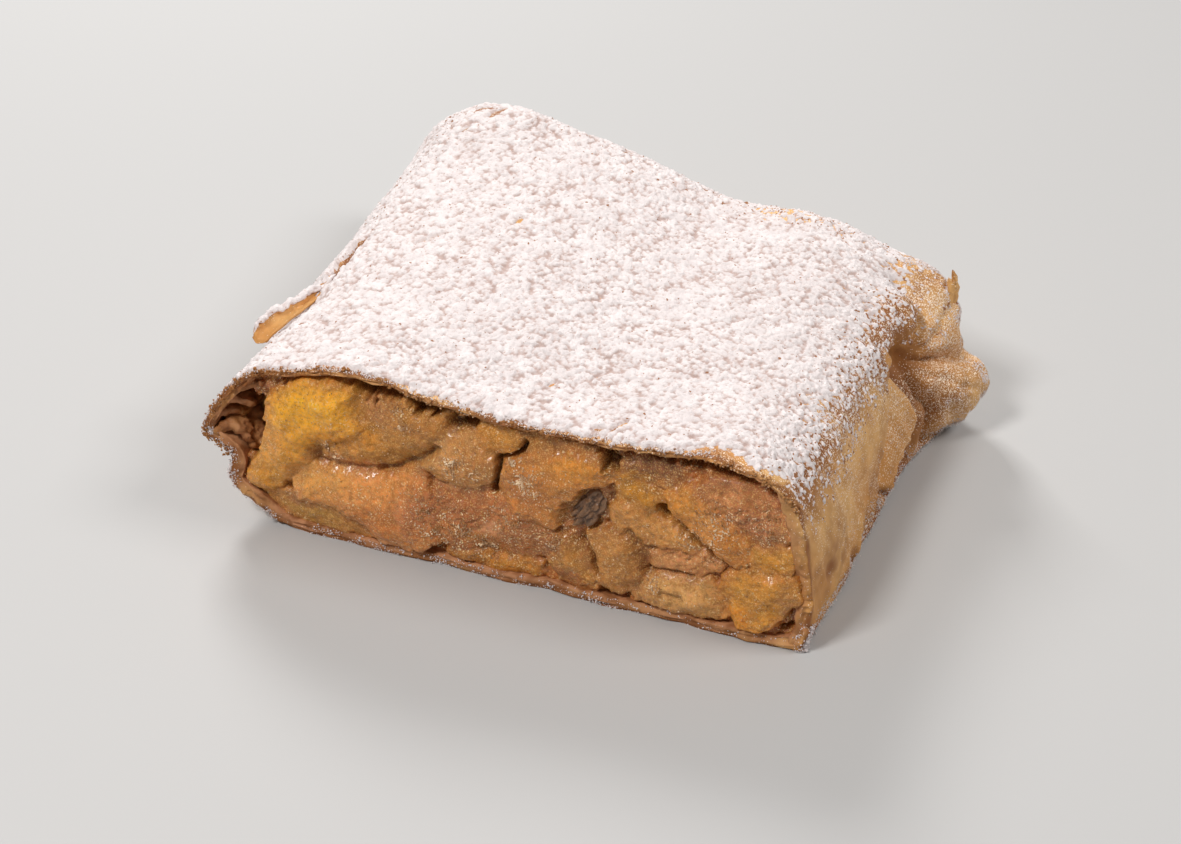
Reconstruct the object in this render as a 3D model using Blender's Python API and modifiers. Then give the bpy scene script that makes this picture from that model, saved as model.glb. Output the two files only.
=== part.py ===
"""An end piece of apple strudel: baked dough closed round an apple filling and cut across once.

X runs across the cut, Y from the cut face into the roll, Z up from the plate it rests on.
Sizes are in millimetres and become metres where a mesh is made.
"""

import math

import bmesh
import bpy
import numpy as np

MM = 0.001

# Driving dimensions of the dough
DOUGH_THICK = 1.8
FILLING_GAP = 0.45
WELD = 0.0005
SECTION_STEPS = 2
WALL_STATIONS = 14
END_ROUND = 7.5
END_ROUND_STEPS = 4
END_FLAT_STEPS = 3
END_FLAT_SHRINK = 0.3
END_CENTRE = np.array((3.0, 15.0))
END_TUCK = 2.5
END_Y_AT_LEFT = 105.5
END_LEFT_X = -40.0
END_SLANT = -0.27
SPINE_Z = 15.0
SPINE_LEFT_X = -36.0
SPINE_RIGHT_X = 42.0

# The outline at the cut and further in, both from the lower left round over the top, as (x, z)
CUT_SECTION = (
    (-37, 0), (-45, 3), (-50.5, 7.5), (-50, 13), (-55, 16), (-54, 20.5), (-49.5, 27), (-44, 32),
    (-36, 34), (-27, 36), (-14, 35.3), (0, 33.8), (14, 33.6), (28, 34.2), (41, 35.2), (49, 33),
    (53.5, 28), (55.8, 19), (56.6, 10), (55.6, 2), (52, 0), (20, 0), (-10, 0),
)
BODY_SECTION = (
    (-44, 0), (-51, 2.5), (-54.5, 8), (-56, 13), (-56.5, 17), (-55, 21.5), (-51, 27), (-44.5, 31),
    (-36, 33.4), (-27, 34.6), (-14, 34.8), (0, 34), (14, 33.2), (28, 33.8), (40, 34), (48.5, 32),
    (53, 28), (56, 20), (57, 10), (56.5, 2.5), (53, 0), (20, 0), (-10, 0),
)
TIP_FOLD_ENDS_Y = 32.0

# Swellings and dips of the top, as (x, y, spread in x, spread in y, height)
TOP_RELIEF = (
    (32, 84, 13, 20, 2.0),
    (-39, 101, 12, 18, 3.4),
    (-12, 96, 12, 12, 0.8),
    (12, 88, 8, 14, -0.9),
    (-10, 40, 16, 16, 0.8),
    (38, 30, 10, 16, -0.6),
)

# Swellings and dips of the right wall, as (y, z, spread in y, spread in z, depth outwards)
RIGHT_RELIEF = (
    (75, 11, 12, 10.5, 10.5),
    (84, 29, 26, 9, 5.5),
    (59, 21, 6, 6, -4.5),
    (12, 16, 9, 8, 0.6),
)
RIGHT_WALL_X = 43.0
FOLD_FOOT_Y = 24.0
FOLD_TOP_Y = 54.0
FOLD_TOP_Z = 22.0
FOLD_DEPTH = 1.8
FOLD_SPREAD = 4.2
LEFT_SPREAD_Y = 40.0
LEFT_SPREAD = 5.4

# Torn flakes on the dough, as base line ends, then tip line ends, all (x, y, z)
FLAKE_THICK = 0.9
FLAKES = {
    "curled": ((-50.2, 18, 26.6), (-46.4, 36, 29.7), (-54.6, 20, 26.4), (-49.5, 33, 31.4)),
    "lifted": ((-50.9, 38, 26.2), (-50.9, 56, 26.6), (-49.7, 39.5, 29.2), (-48.9, 54.5, 30)),
    "sliver": ((58.2, 73, 25.8), (57.6, 78, 25.2), (58.6, 75.4, 32.4), (58.4, 77.6, 31.4)),
    "bare": ((34.5, 1.2, 34), (44, 1.2, 33.6), (36.5, -1.2, 36.2), (42.5, -1.2, 35.6)),
}

# The filling: how far its mass lies behind the cut, and the hollows left under the dough,
# as centre and half sizes
MASS_FRONT_Y = 2.4
PIECE_DEPTH = 9.0
PIECE_BEVEL = 1.1
PIECE_SIDES = 2
HOLLOWS = (
    ((-47.5, 3, 20), (6.5, 12, 6.5)),
    ((-21, 3, 35), (6.5, 11, 3.4)),
    ((-3.5, 2, 33.6), (4, 6, 2.2)),
    ((38, 3, 34), (11, 12, 3.2)),
)

# The apple pieces that show at the cut: how far each stands out from the cut plane,
# then its outline as (x, z)
APPLE_PIECES = {
    "yellow_chunk": (-0.8, ((-45.5, 9), (-40.5, 27.5), (-33.5, 32), (-25.5, 32.2), (-24.5, 28),
                            (-21.5, 26), (-33, 20), (-34.5, 16), (-43, 8))),
    "tan_slab": (0.4, ((-32.4, 17.6), (-22.6, 24.8), (-25, 30.8), (-14.5, 32), (-6.5, 31.6),
                       (-5.5, 30), (-10.5, 24.5), (-17, 19), (-22, 17))),
    "long_slice": (-0.4, ((-37, 7.5), (-37, 12.5), (-29, 15.5), (-24, 15.5), (-14.5, 19),
                          (-12, 14), (-11.5, 5), (-14, 3), (-22, 3.5))),
    "low_slice": (0.9, ((-43.5, 7.2), (-30, 6.4), (-24.5, 4.4), (-24, 2.6), (-30, 2.4),
                        (-36, 2.6), (-41, 4.4))),
    "upper_nugget": (0.5, ((-2, 26), (-2.5, 31.5), (3.5, 31.4), (6, 30.8), (6.5, 28.5), (2, 25.4))),
    "nugget": (-0.2, ((2, 26), (1, 21), (-2, 19), (-6, 18), (-12, 20), (-9.5, 27), (-6.5, 29))),
    "big_slice": (-0.7, ((22, 28), (12.4, 17), (10, 14.5), (3, 12), (1, 17), (2, 25.5), (15, 30.6))),
    "top_sliver": (0.9, ((17.5, 31.3), (15, 29.5), (6.5, 28.8), (6.5, 31.2))),
    "wedge": (0.5, ((22.5, 27), (25.5, 28), (30, 24.5), (29.5, 22), (28, 21), (23, 22.5))),
    "middle_slice": (0.4, ((21.5, 20), (24.5, 23), (35.5, 17.5), (35, 15.5), (28, 15.5), (24, 17))),
    "right_oval": (0.0, ((18, 13.5), (22, 15.5), (26.5, 13.5), (27.5, 9), (26.5, 5.5), (23, 4.2),
                         (19.5, 6), (18, 9.5))),
    "left_oval": (0.5, ((10, 7.5), (13.5, 10.5), (17, 8.5), (19, 5), (17, 2.6), (14, 2.6))),
    "thin_slice": (0.4, ((-8, 3), (-2.5, 5.5), (3, 5.5), (7.5, 4), (7, 2.6), (-4.5, 2.6))),
    "pale_ring": (0.2, ((42, 6.5), (41, 4), (36.5, 2.7), (26.5, 4), (28.5, 6.5), (32.5, 9),
                        (38.5, 9.5))),
    "pale_fold": (0.9, ((40, 13), (34, 10.6), (28.5, 9.5), (28.5, 11.5), (32.5, 13.5),
                        (37.5, 14.5))),
    "diagonal_slice": (-0.3, ((31.5, 25), (35, 27.5), (38, 26.5), (45.5, 20), (45.5, 17),
                              (43, 15), (40, 17), (32, 23))),
    "right_mush": (0.3, ((36.5, 27.8), (39, 30), (44, 30.2), (48.5, 28.8), (51.6, 26), (52.6, 23),
                         (48, 20), (41, 24.8))),
    "right_knob": (0.2, ((46, 17.5), (49, 20), (52.6, 19.5), (53.4, 18), (51.6, 15.5), (48, 15))),
    "right_chunk": (-0.5, ((44.5, 3), (42, 6), (42.5, 11.5), (46, 14), (53, 14), (53.6, 10.5),
                           (49, 4.5))),
    "crumb": (1.2, ((24.5, 30.2), (30, 30.6), (32, 29.6), (31.5, 27.5), (24.5, 28.6))),
    "syrup": (1.0, ((12.5, 10.5), (5, 6), (-4.5, 4.5), (-9.5, 5.5), (-9.5, 16), (1.5, 18.5))),
}

# The raisin lies slanting in the cut face
RAISIN_AT = (17.3, 2.4, 19.4)
RAISIN_HALF = (5.6, 3.4, 3.0)
RAISIN_TILT = 52.0
RAISIN_GAP = 0.4
RAISIN_RINGS = 10
RAISIN_SEGMENTS = 14
RAISIN_WRINKLES = 5
RAISIN_WRINKLE_DEPTH = 0.16

# Where the natural reference point lies in the sizes above: the middle of the whole, on the plate
ORIGIN_X = 2.72
ORIGIN_Y = 53.31

COLOURS = {
    "pastry_shell": (0.52, 0.30, 0.14, 1.0),
    "apple_filling": (0.45, 0.24, 0.08, 1.0),
    "raisin": (0.045, 0.018, 0.010, 1.0),
}
ROUGHNESS = {"pastry_shell": 0.7, "apple_filling": 0.42, "raisin": 0.4}


def clear_scene():
    for obj in list(bpy.data.objects):
        bpy.data.objects.remove(obj, do_unlink=True)


def new_collection(name, helper=False):
    collection = bpy.data.collections.new(name)
    bpy.context.scene.collection.children.link(collection)
    collection.hide_render = helper
    return collection


def material_for(name):
    material = bpy.data.materials.new(name)
    material.use_nodes = True
    shader = material.node_tree.nodes["Principled BSDF"]
    shader.inputs["Base Color"].default_value = COLOURS[name]
    shader.inputs["Roughness"].default_value = ROUGHNESS[name]
    shader.inputs["Metallic"].default_value = 0.0
    return material


def to_metres(points):
    return (np.asarray(points, float) - (ORIGIN_X, ORIGIN_Y, 0.0)) * MM


def object_from(name, points, faces, collection):
    mesh = bpy.data.meshes.new(name)
    mesh.from_pydata([tuple(point) for point in to_metres(points)], [], faces)
    mesh.validate()
    obj = bpy.data.objects.new(name, mesh)
    collection.objects.link(obj)
    return obj


def object_from_bmesh(name, shape, collection):
    mesh = bpy.data.meshes.new(name)
    shape.to_mesh(mesh)
    shape.free()
    obj = bpy.data.objects.new(name, mesh)
    collection.objects.link(obj)
    return obj


def smooth_step(value, low, high):
    share = np.clip((value - low) / (high - low), 0.0, 1.0)
    return share * share * (3.0 - 2.0 * share)


def bell(value, centre, spread):
    return np.exp(-(((value - centre) / spread) ** 2))


def smooth_loop(points, steps):
    """The closed curve through the points, with this many samples for each of them."""
    points = np.asarray(points, float)
    before, after = np.roll(points, 1, axis=0), np.roll(points, -1, axis=0)
    beyond = np.roll(points, -2, axis=0)
    samples = []
    for share in np.arange(steps) / steps:
        samples.append(
            0.5
            * (
                2 * points
                + (after - before) * share
                + (2 * before - 5 * points + 4 * after - beyond) * share**2
                + (3 * points - before - 3 * after + beyond) * share**3
            )
        )
    return np.stack(samples, axis=1).reshape(-1, 2)


def end_y(x):
    """Where the tucked end of the roll lies: it slants across the roll."""
    return END_Y_AT_LEFT + END_SLANT * (x - END_LEFT_X)


def relief(points):
    """The points of the even roll moved out to the uneven one that was baked."""
    x, y, z = points.T
    moved = points.copy()
    on_top = smooth_step(z, 22.0, 31.0)
    for centre_x, centre_y, spread_x, spread_y, height in TOP_RELIEF:
        moved[:, 2] += on_top * height * bell(x, centre_x, spread_x) * bell(y, centre_y, spread_y)
    on_right = smooth_step(x, RIGHT_WALL_X, RIGHT_WALL_X + 9.0)
    for centre_y, centre_z, spread_y, spread_z, depth in RIGHT_RELIEF:
        moved[:, 0] += on_right * depth * bell(y, centre_y, spread_y) * bell(z, centre_z, spread_z)
    fold_rise = np.sqrt(np.clip(z / FOLD_TOP_Z, 0.0, 1.0))
    fold_y = FOLD_FOOT_Y + (FOLD_TOP_Y - FOLD_FOOT_Y) * fold_rise
    fades_out = 1.0 - smooth_step(z, FOLD_TOP_Z, FOLD_TOP_Z + 6.0)
    fades_out *= 0.3 + 0.7 * smooth_step(z, 0.0, 6.0)
    moved[:, 0] -= on_right * fades_out * FOLD_DEPTH * bell(y, fold_y, FOLD_SPREAD)
    to_rear = np.clip((y - LEFT_SPREAD_Y) / (END_Y_AT_LEFT - LEFT_SPREAD_Y), 0.0, 1.0) ** 1.5
    moved[:, 0] -= LEFT_SPREAD * to_rear * smooth_step(-x, 30.0, 52.0)
    moved[:, 2] = np.maximum(moved[:, 2], 0.0)
    return moved


def section_at(y):
    """The even roll's outline this far behind the cut."""
    blend = smooth_step(y, 4.0, TIP_FOLD_ENDS_Y)
    points = (1 - blend) * np.asarray(CUT_SECTION, float) + blend * np.asarray(BODY_SECTION, float)
    loop = smooth_loop(points, SECTION_STEPS)
    loop[:, 1] = np.maximum(loop[:, 1], 0.0)
    return loop


def end_rings():
    """Shrink and reach of each ring over the rounded end, then of those across its flat."""
    rings = []
    for angle in np.linspace(0.0, math.pi / 2, END_ROUND_STEPS + 1)[1:]:
        rings.append((END_ROUND * (1 - math.cos(angle)), END_ROUND * math.sin(angle), 0.0))
    for share in np.linspace(0.0, 1.0, END_FLAT_STEPS + 1)[1:]:
        rings.append((END_ROUND, END_ROUND - END_TUCK * share, share))
    return rings


def roll_rings():
    """The outer surface of the roll as rings of points, from the cut to the tucked end."""
    rings = []
    for share in np.linspace(0.0, 1.0, WALL_STATIONS + 1):
        section = section_at(share * END_Y_AT_LEFT)
        y = share * (end_y(section[:, 0]) - END_ROUND)
        rings.append(np.column_stack([section[:, 0], y, section[:, 1]]))
    wall = rings[-1]
    spine = np.column_stack([
        np.clip(wall[:, 0], SPINE_LEFT_X, SPINE_RIGHT_X),
        np.full(len(wall), SPINE_Z),
    ])
    away = wall[:, [0, 2]] - spine
    length = np.linalg.norm(away, axis=1)
    softness = 0.5 + 0.5 * smooth_step(wall[:, 2], 0.0, 12.0)
    for inset, reach, across in end_rings():
        inner = spine + away * (1 - inset * softness / length)[:, None]
        inner += (END_CENTRE - inner) * (1 - END_FLAT_SHRINK) * across
        y = end_y(inner[:, 0]) - END_ROUND + reach
        rings.append(np.column_stack([inner[:, 0], y, inner[:, 1]]))
    return [relief(ring) for ring in rings]


def ring_faces(ring_count, around):
    faces = []
    for ring in range(ring_count - 1):
        for step in range(around):
            ahead = (step + 1) % around
            faces.append((
                ring * around + step,
                (ring + 1) * around + step,
                (ring + 1) * around + ahead,
                ring * around + ahead,
            ))
    return faces


def roll_surface(name, collection):
    """The roll's outer surface, closed at the tucked end and open at the cut."""
    rings = roll_rings()
    around = len(rings[0])
    faces = ring_faces(len(rings), around)
    faces.append(tuple((len(rings) - 1) * around + step for step in range(around)))
    obj = object_from(name, np.vstack(rings), faces, collection)
    shape = bmesh.new()
    shape.from_mesh(obj.data)
    bmesh.ops.poke(shape, faces=[face for face in shape.faces if len(face.verts) > 4])
    bmesh.ops.recalc_face_normals(shape, faces=shape.faces)
    shape.to_mesh(obj.data)
    shape.free()
    return obj


def boolean(obj, name, operation, helpers, solver="EXACT"):
    modifier = obj.modifiers.new(name, "BOOLEAN")
    modifier.operation = operation
    modifier.operand_type = "COLLECTION"
    modifier.collection = helpers
    modifier.solver = solver


def bake(obj, *helper_collections):
    """Applies the object's modifiers and removes the helpers that they used."""
    graph = bpy.context.evaluated_depsgraph_get()
    mesh = bpy.data.meshes.new_from_object(obj.evaluated_get(graph))
    obj.modifiers.clear()
    obj.data = mesh
    for collection in helper_collections:
        for helper in list(collection.objects):
            bpy.data.objects.remove(helper, do_unlink=True)
        bpy.data.collections.remove(collection)


def keep_outer_skin(obj):
    """Fills sealed hollows and drops loose scraps, which are the mesh's smaller islands."""
    shape = bmesh.new()
    shape.from_mesh(obj.data)
    bmesh.ops.remove_doubles(shape, verts=shape.verts, dist=WELD * MM)
    unseen = set(shape.faces)
    islands = []
    while unseen:
        front = [unseen.pop()]
        island = list(front)
        while front:
            face = front.pop()
            for edge in face.edges:
                for other in edge.link_faces:
                    if other in unseen:
                        unseen.remove(other)
                        front.append(other)
                        island.append(other)
        islands.append(island)
    islands.sort(key=len)
    spare = [face for island in islands[:-1] for face in island]
    bmesh.ops.delete(shape, geom=spare, context="FACES")
    shape.to_mesh(obj.data)
    shape.free()


def plate(name, base_from, base_to, tip_from, tip_to, collection):
    """A thin torn flake between its base line and its tip line."""
    corners = np.array([base_from, base_to, tip_to, tip_from], float)
    normal = np.cross(corners[1] - corners[0], corners[3] - corners[0])
    normal *= FLAKE_THICK / 2 / np.linalg.norm(normal)
    points = np.vstack([corners - normal, corners + normal])
    faces = [(3, 2, 1, 0), (4, 5, 6, 7)]
    faces += [(step, (step + 1) % 4, 4 + (step + 1) % 4, 4 + step) for step in range(4)]
    obj = object_from(name, points, faces, collection)
    obj.display_type = "WIRE"
    return obj


def make_pastry(parts):
    shell = roll_surface("pastry_shell", parts)
    solidify = shell.modifiers.new("dough", "SOLIDIFY")
    solidify.thickness = DOUGH_THICK * MM
    solidify.offset = -1.0
    flakes = new_collection("flakes", helper=True)
    for name, (base_from, base_to, tip_from, tip_to) in FLAKES.items():
        plate("flake_" + name, base_from, base_to, tip_from, tip_to, flakes)
    boolean(shell, "flakes", "UNION", flakes)
    bake(shell, flakes)
    keep_outer_skin(shell)
    return shell


def filling_mass(parts):
    """The roll's inside with a gap to the dough, closed a little behind the cut."""
    obj = roll_surface("apple_filling", parts)
    shape = bmesh.new()
    shape.from_mesh(obj.data)
    shape.normal_update()
    inset = (DOUGH_THICK + FILLING_GAP) * MM
    moves = {}
    for vertex in shape.verts:
        sharpness = vertex.calc_shell_factor()
        moves[vertex] = vertex.normal * inset * sharpness
    for vertex, move in moves.items():
        vertex.co -= move
    front = [vertex for vertex in shape.verts if vertex.is_boundary]
    for vertex in front:
        vertex.co.y = (MASS_FRONT_Y - ORIGIN_Y) * MM
    bmesh.ops.holes_fill(shape, edges=[edge for edge in shape.edges if edge.is_boundary], sides=0)
    bmesh.ops.recalc_face_normals(shape, faces=shape.faces)
    shape.to_mesh(obj.data)
    shape.free()
    return obj


def ellipsoid(name, centre, half, collection, tilt=0.0, segments=12, rings=8, wrinkles=0):
    """A closed round lump; tilt turns it in the plane of the cut."""
    shape = bmesh.new()
    bmesh.ops.create_uvsphere(shape, u_segments=segments, v_segments=rings, radius=1.0)
    turn = math.radians(tilt)
    for vertex in shape.verts:
        x, y, z = vertex.co
        if wrinkles:
            around = math.atan2(z, y)
            crease = RAISIN_WRINKLE_DEPTH * math.cos(wrinkles * around + 2.2 * x)
            y *= 1 + crease * (1 - x * x)
            z *= 1 + crease * (1 - x * x)
        x, y, z = x * half[0], y * half[1], z * half[2]
        turned_x = x * math.cos(turn) - z * math.sin(turn)
        turned_z = x * math.sin(turn) + z * math.cos(turn)
        place = (centre[0] + turned_x, centre[1] + y, centre[2] + turned_z)
        vertex.co = to_metres(place)
    bmesh.ops.recalc_face_normals(shape, faces=shape.faces)
    obj = object_from_bmesh(name, shape, collection)
    return obj


def apple_piece(name, front_y, outline, collection):
    """A piece of apple: its outline at the cut, rounded in front and running back into the mass."""
    loop = smooth_loop(outline, PIECE_SIDES)
    shape = bmesh.new()
    corners = [shape.verts.new(to_metres((x, front_y, z))) for x, z in loop]
    face = shape.faces.new(corners)
    grown = bmesh.ops.extrude_face_region(shape, geom=[face])
    moved = [item for item in grown["geom"] if isinstance(item, bmesh.types.BMVert)]
    bmesh.ops.translate(shape, verts=moved, vec=(0.0, PIECE_DEPTH * MM, 0.0))
    bmesh.ops.recalc_face_normals(shape, faces=shape.faces)
    front = [edge for edge in shape.edges if all(vertex in corners for vertex in edge.verts)]
    bmesh.ops.bevel(
        shape, geom=front, offset=PIECE_BEVEL * MM, segments=1, affect="EDGES", clamp_overlap=True
    )
    obj = object_from_bmesh("piece_" + name, shape, collection)
    obj.display_type = "WIRE"
    return obj


def make_filling(parts):
    filling = filling_mass(parts)
    hollows = new_collection("hollows", helper=True)
    for number, (centre, half) in enumerate(HOLLOWS):
        ellipsoid(f"hollow_{number}", centre, half, hollows).display_type = "WIRE"
    boolean(filling, "hollows", "DIFFERENCE", hollows, "MANIFOLD")
    bake(filling, hollows)
    pieces = new_collection("pieces", helper=True)
    for name, (front_y, outline) in APPLE_PIECES.items():
        apple_piece(name, front_y, outline, pieces)
    boolean(filling, "pieces", "UNION", pieces, "MANIFOLD")
    bake(filling, pieces)
    pocket = new_collection("pocket", helper=True)
    grown = [half + RAISIN_GAP for half in RAISIN_HALF]
    ellipsoid("raisin_pocket", RAISIN_AT, grown, pocket, RAISIN_TILT).display_type = "WIRE"
    boolean(filling, "pocket", "DIFFERENCE", pocket, "MANIFOLD")
    bake(filling, pocket)
    keep_outer_skin(filling)
    return filling


def make_raisin(parts):
    half = [size * (1 - RAISIN_WRINKLE_DEPTH) for size in RAISIN_HALF]
    half[0] = RAISIN_HALF[0]
    return ellipsoid(
        "raisin", RAISIN_AT, half, parts, RAISIN_TILT, RAISIN_SEGMENTS, RAISIN_RINGS, RAISIN_WRINKLES
    )


def main():
    clear_scene()
    parts = new_collection("apple_strudel_piece")
    for obj in (make_pastry(parts), make_filling(parts), make_raisin(parts)):
        obj.data.materials.clear()
        obj.data.materials.append(material_for(obj.name))
        obj.data.shade_smooth()


main()
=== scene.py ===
"""The looks of an apple strudel end piece: dough, icing sugar, cooked apple, syrup and a raisin.

Sizes are in millimetres in the roll's own frame, where y is 0 at the cut face; ROLL_TO_ROW takes
them to the part's frame.
"""

import math

import bmesh
import bpy
import numpy as np
from mathutils import Matrix


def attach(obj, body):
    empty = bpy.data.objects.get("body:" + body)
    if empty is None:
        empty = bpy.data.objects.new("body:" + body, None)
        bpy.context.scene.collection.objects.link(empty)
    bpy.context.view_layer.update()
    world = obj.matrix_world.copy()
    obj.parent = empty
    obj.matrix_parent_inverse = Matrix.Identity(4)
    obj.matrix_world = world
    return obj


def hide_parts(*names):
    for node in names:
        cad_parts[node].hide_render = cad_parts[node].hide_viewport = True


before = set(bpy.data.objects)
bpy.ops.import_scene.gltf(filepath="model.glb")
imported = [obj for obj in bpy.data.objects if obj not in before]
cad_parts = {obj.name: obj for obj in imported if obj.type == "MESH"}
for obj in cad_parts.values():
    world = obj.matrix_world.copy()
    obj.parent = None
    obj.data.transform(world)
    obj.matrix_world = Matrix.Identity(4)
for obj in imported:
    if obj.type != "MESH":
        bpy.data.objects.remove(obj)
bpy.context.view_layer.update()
BODY = "root"

# The baked dough. One thin sheet is rolled round the apple and tucked in at the end, so it is a
# closed skin about 2 mm thick, open only where the roll was cut. It browned unevenly in the oven,
# wrinkled as it dried, and was pinched at the rear right corner.

MM = 0.001
ROLL_TO_ROW = np.array((-2.72, -53.31, 0.0))
DOUGH_THICK = 1.8
END_ROUND = 7.5
END_FLAT_SHRINK = 0.3
END_CENTRE = np.array((3.0, 15.0))
END_TUCK = 2.5
END_Y_AT_LEFT = 105.5
END_LEFT_X = -40.0
END_SLANT = -0.27
SPINE_Z = 15.0
SPINE_LEFT_X = -36.0
SPINE_RIGHT_X = 42.0
CUT_SECTION = np.array((
    (-37, 0), (-45, 3), (-50.5, 7.5), (-50, 13), (-55, 16), (-54, 20.5), (-49.5, 27), (-44, 32),
    (-36, 34), (-27, 36), (-14, 35.3), (0, 33.8), (14, 33.6), (28, 34.2), (41, 35.2), (49, 33),
    (53.5, 28), (55.8, 19), (56.6, 10), (55.6, 2), (52, 0), (20, 0), (-10, 0),
), float)
BODY_SECTION = np.array((
    (-44, 0), (-51, 2.5), (-54.5, 8), (-56, 13), (-56.5, 17), (-55, 21.5), (-51, 27), (-44.5, 31),
    (-36, 33.4), (-27, 34.6), (-14, 34.8), (0, 34), (14, 33.2), (28, 33.8), (40, 34), (48.5, 32),
    (53, 28), (56, 20), (57, 10), (56.5, 2.5), (53, 0), (20, 0), (-10, 0),
), float)
TIP_FOLD_STARTS_Y = 4.0
TIP_FOLD_ENDS_Y = 32.0
TOP_RELIEF = (
    (32, 84, 13, 20, 2.0),
    (-39, 101, 12, 18, 3.4),
    (-12, 96, 12, 12, 0.8),
    (12, 88, 8, 14, -0.9),
    (-10, 40, 16, 16, 0.8),
    (38, 30, 10, 16, -0.6),
)
RIGHT_RELIEF = (
    (75, 11, 12, 10.5, 10.5),
    (84, 29, 26, 9, 5.5),
    (59, 21, 6, 6, -4.5),
    (12, 16, 9, 8, 0.6),
)
RIGHT_WALL_X = 43.0
FOLD_FOOT_Y = 24.0
FOLD_TOP_Y = 54.0
FOLD_TOP_Z = 22.0
FOLD_DEPTH = 1.8
FOLD_SPREAD = 4.2
LEFT_SPREAD_Y = 40.0
LEFT_SPREAD = 5.4


def smooth_step(value, low, high):
    """0 up to low, 1 from high on, and smooth between them."""
    share = np.clip((value - low) / (high - low), 0.0, 1.0)
    return share * share * (3.0 - 2.0 * share)


def fade_out(value, low, high):
    """1 up to low, 0 from high on, and smooth between them."""
    return 1 - smooth_step(value, low, high)


def bell(value, centre, spread):
    """1 at the centre, and fading out on both sides of it."""
    return np.exp(-(((value - centre) / spread) ** 2))


def hashed(corner, seed):
    """A fixed random number from 0 to 1 for each whole-number corner."""
    mixed = (
        corner[:, 0].astype(np.uint64) * np.uint64(73856093)
        ^ corner[:, 1].astype(np.uint64) * np.uint64(19349663)
        ^ corner[:, 2].astype(np.uint64) * np.uint64(83492791)
        ^ np.uint64(seed * 2654435761 + 97)
    )
    mixed ^= mixed >> np.uint64(17)
    mixed *= np.uint64(0xED5AD4BB)
    mixed ^= mixed >> np.uint64(11)
    mixed *= np.uint64(0xAC4C1B51)
    mixed ^= mixed >> np.uint64(15)
    return (mixed & np.uint64(0xFFFFFF)).astype(float) / 0xFFFFFF


def soft_noise(points, size, seed):
    """Smooth noise from -1 to 1 whose bumps are about this size."""
    places = np.asarray(points, float) / size + 4096.0
    base = np.floor(places)
    share = places - base
    share = share * share * (3.0 - 2.0 * share)
    total = np.zeros(len(places))
    for corner in range(8):
        step = np.array((corner & 1, (corner >> 1) & 1, (corner >> 2) & 1), float)
        weight = np.prod(np.where(step > 0, share, 1 - share), axis=1)
        total += weight * hashed(base + step, seed)
    return total * 2 - 1


def sum_noise(points, *layers):
    """Layers of smooth noise laid over each other, each as its height, its size and its seed."""
    return sum(height * soft_noise(points, size, seed) for height, size, seed in layers)


def cells(across, along, size, seed):
    """Distances to the nearest and the second nearest of scattered centres about this far apart."""
    across, along = np.asarray(across) / size + 4096.0, np.asarray(along) / size + 4096.0
    base_x, base_y = np.floor(across), np.floor(along)
    nearest = np.full(len(across), 9.0)
    second = np.full(len(across), 9.0)
    for step_x in (-1, 0, 1):
        for step_y in (-1, 0, 1):
            cell = np.column_stack([base_x + step_x, base_y + step_y, np.zeros(len(across))])
            gap = np.hypot(cell[:, 0] + hashed(cell, seed) - across,
                           cell[:, 1] + hashed(cell, seed + 1) - along)
            second = np.minimum(second, np.maximum(nearest, gap))
            nearest = np.minimum(nearest, gap)
    return nearest, second


def domes(across, along, size, seed):
    """Rounded lumps of about this size, from 0 to 1, and the creases between them, also 0 to 1."""
    nearest, second = cells(across, along, size, seed)
    return np.clip(1.0 - nearest**2, 0.0, 1.0), 1.0 - smooth_step(second - nearest, 0.0, 0.3)


def end_y(x):
    """Where the tucked end of the roll lies: it slants across the roll."""
    return END_Y_AT_LEFT + END_SLANT * (x - END_LEFT_X)


def relief(points):
    """The points of the even roll moved out to the uneven one that was baked."""
    x, y, z = points.T
    moved = points.copy()
    on_top = smooth_step(z, 22.0, 31.0)
    for centre_x, centre_y, spread_x, spread_y, height in TOP_RELIEF:
        moved[:, 2] += on_top * height * bell(x, centre_x, spread_x) * bell(y, centre_y, spread_y)
    on_right = smooth_step(x, RIGHT_WALL_X, RIGHT_WALL_X + 9.0)
    for centre_y, centre_z, spread_y, spread_z, depth in RIGHT_RELIEF:
        moved[:, 0] += on_right * depth * bell(y, centre_y, spread_y) * bell(z, centre_z, spread_z)
    fold_y, fades_out = fold_line(z)
    moved[:, 0] -= on_right * fades_out * FOLD_DEPTH * bell(y, fold_y, FOLD_SPREAD)
    to_rear = np.clip((y - LEFT_SPREAD_Y) / (END_Y_AT_LEFT - LEFT_SPREAD_Y), 0.0, 1.0) ** 1.5
    moved[:, 0] -= LEFT_SPREAD * to_rear * smooth_step(-x, 30.0, 52.0)
    moved[:, 2] = np.maximum(moved[:, 2], 0.0)
    return moved


def fold_line(z):
    """How far back the fold in the right wall lies at each height, and how strong it is there."""
    rise = np.sqrt(np.clip(z / FOLD_TOP_Z, 0.0, 1.0))
    strength = fade_out(z, FOLD_TOP_Z, FOLD_TOP_Z + 6.0)
    strength *= 0.3 + 0.7 * smooth_step(z, 0.0, 6.0)
    return FOLD_FOOT_Y + (FOLD_TOP_Y - FOLD_FOOT_Y) * rise, strength


def curve_between(before, here, after, beyond, share):
    """The smooth curve from here to after, bent by the points on both sides of them."""
    return 0.5 * (
        2 * here
        + (after - before) * share
        + (2 * before - 5 * here + 4 * after - beyond) * share**2
        + (3 * here - before - 3 * after + beyond) * share**3
    )


def section_point(section, u):
    """The closed smooth curve through the section's points, where u counts the points."""
    whole = np.floor(u).astype(int)
    corners = [section[(whole + step) % len(section)] for step in (-1, 0, 1, 2)]
    return curve_between(*corners, (u - whole)[:, None])


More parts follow.
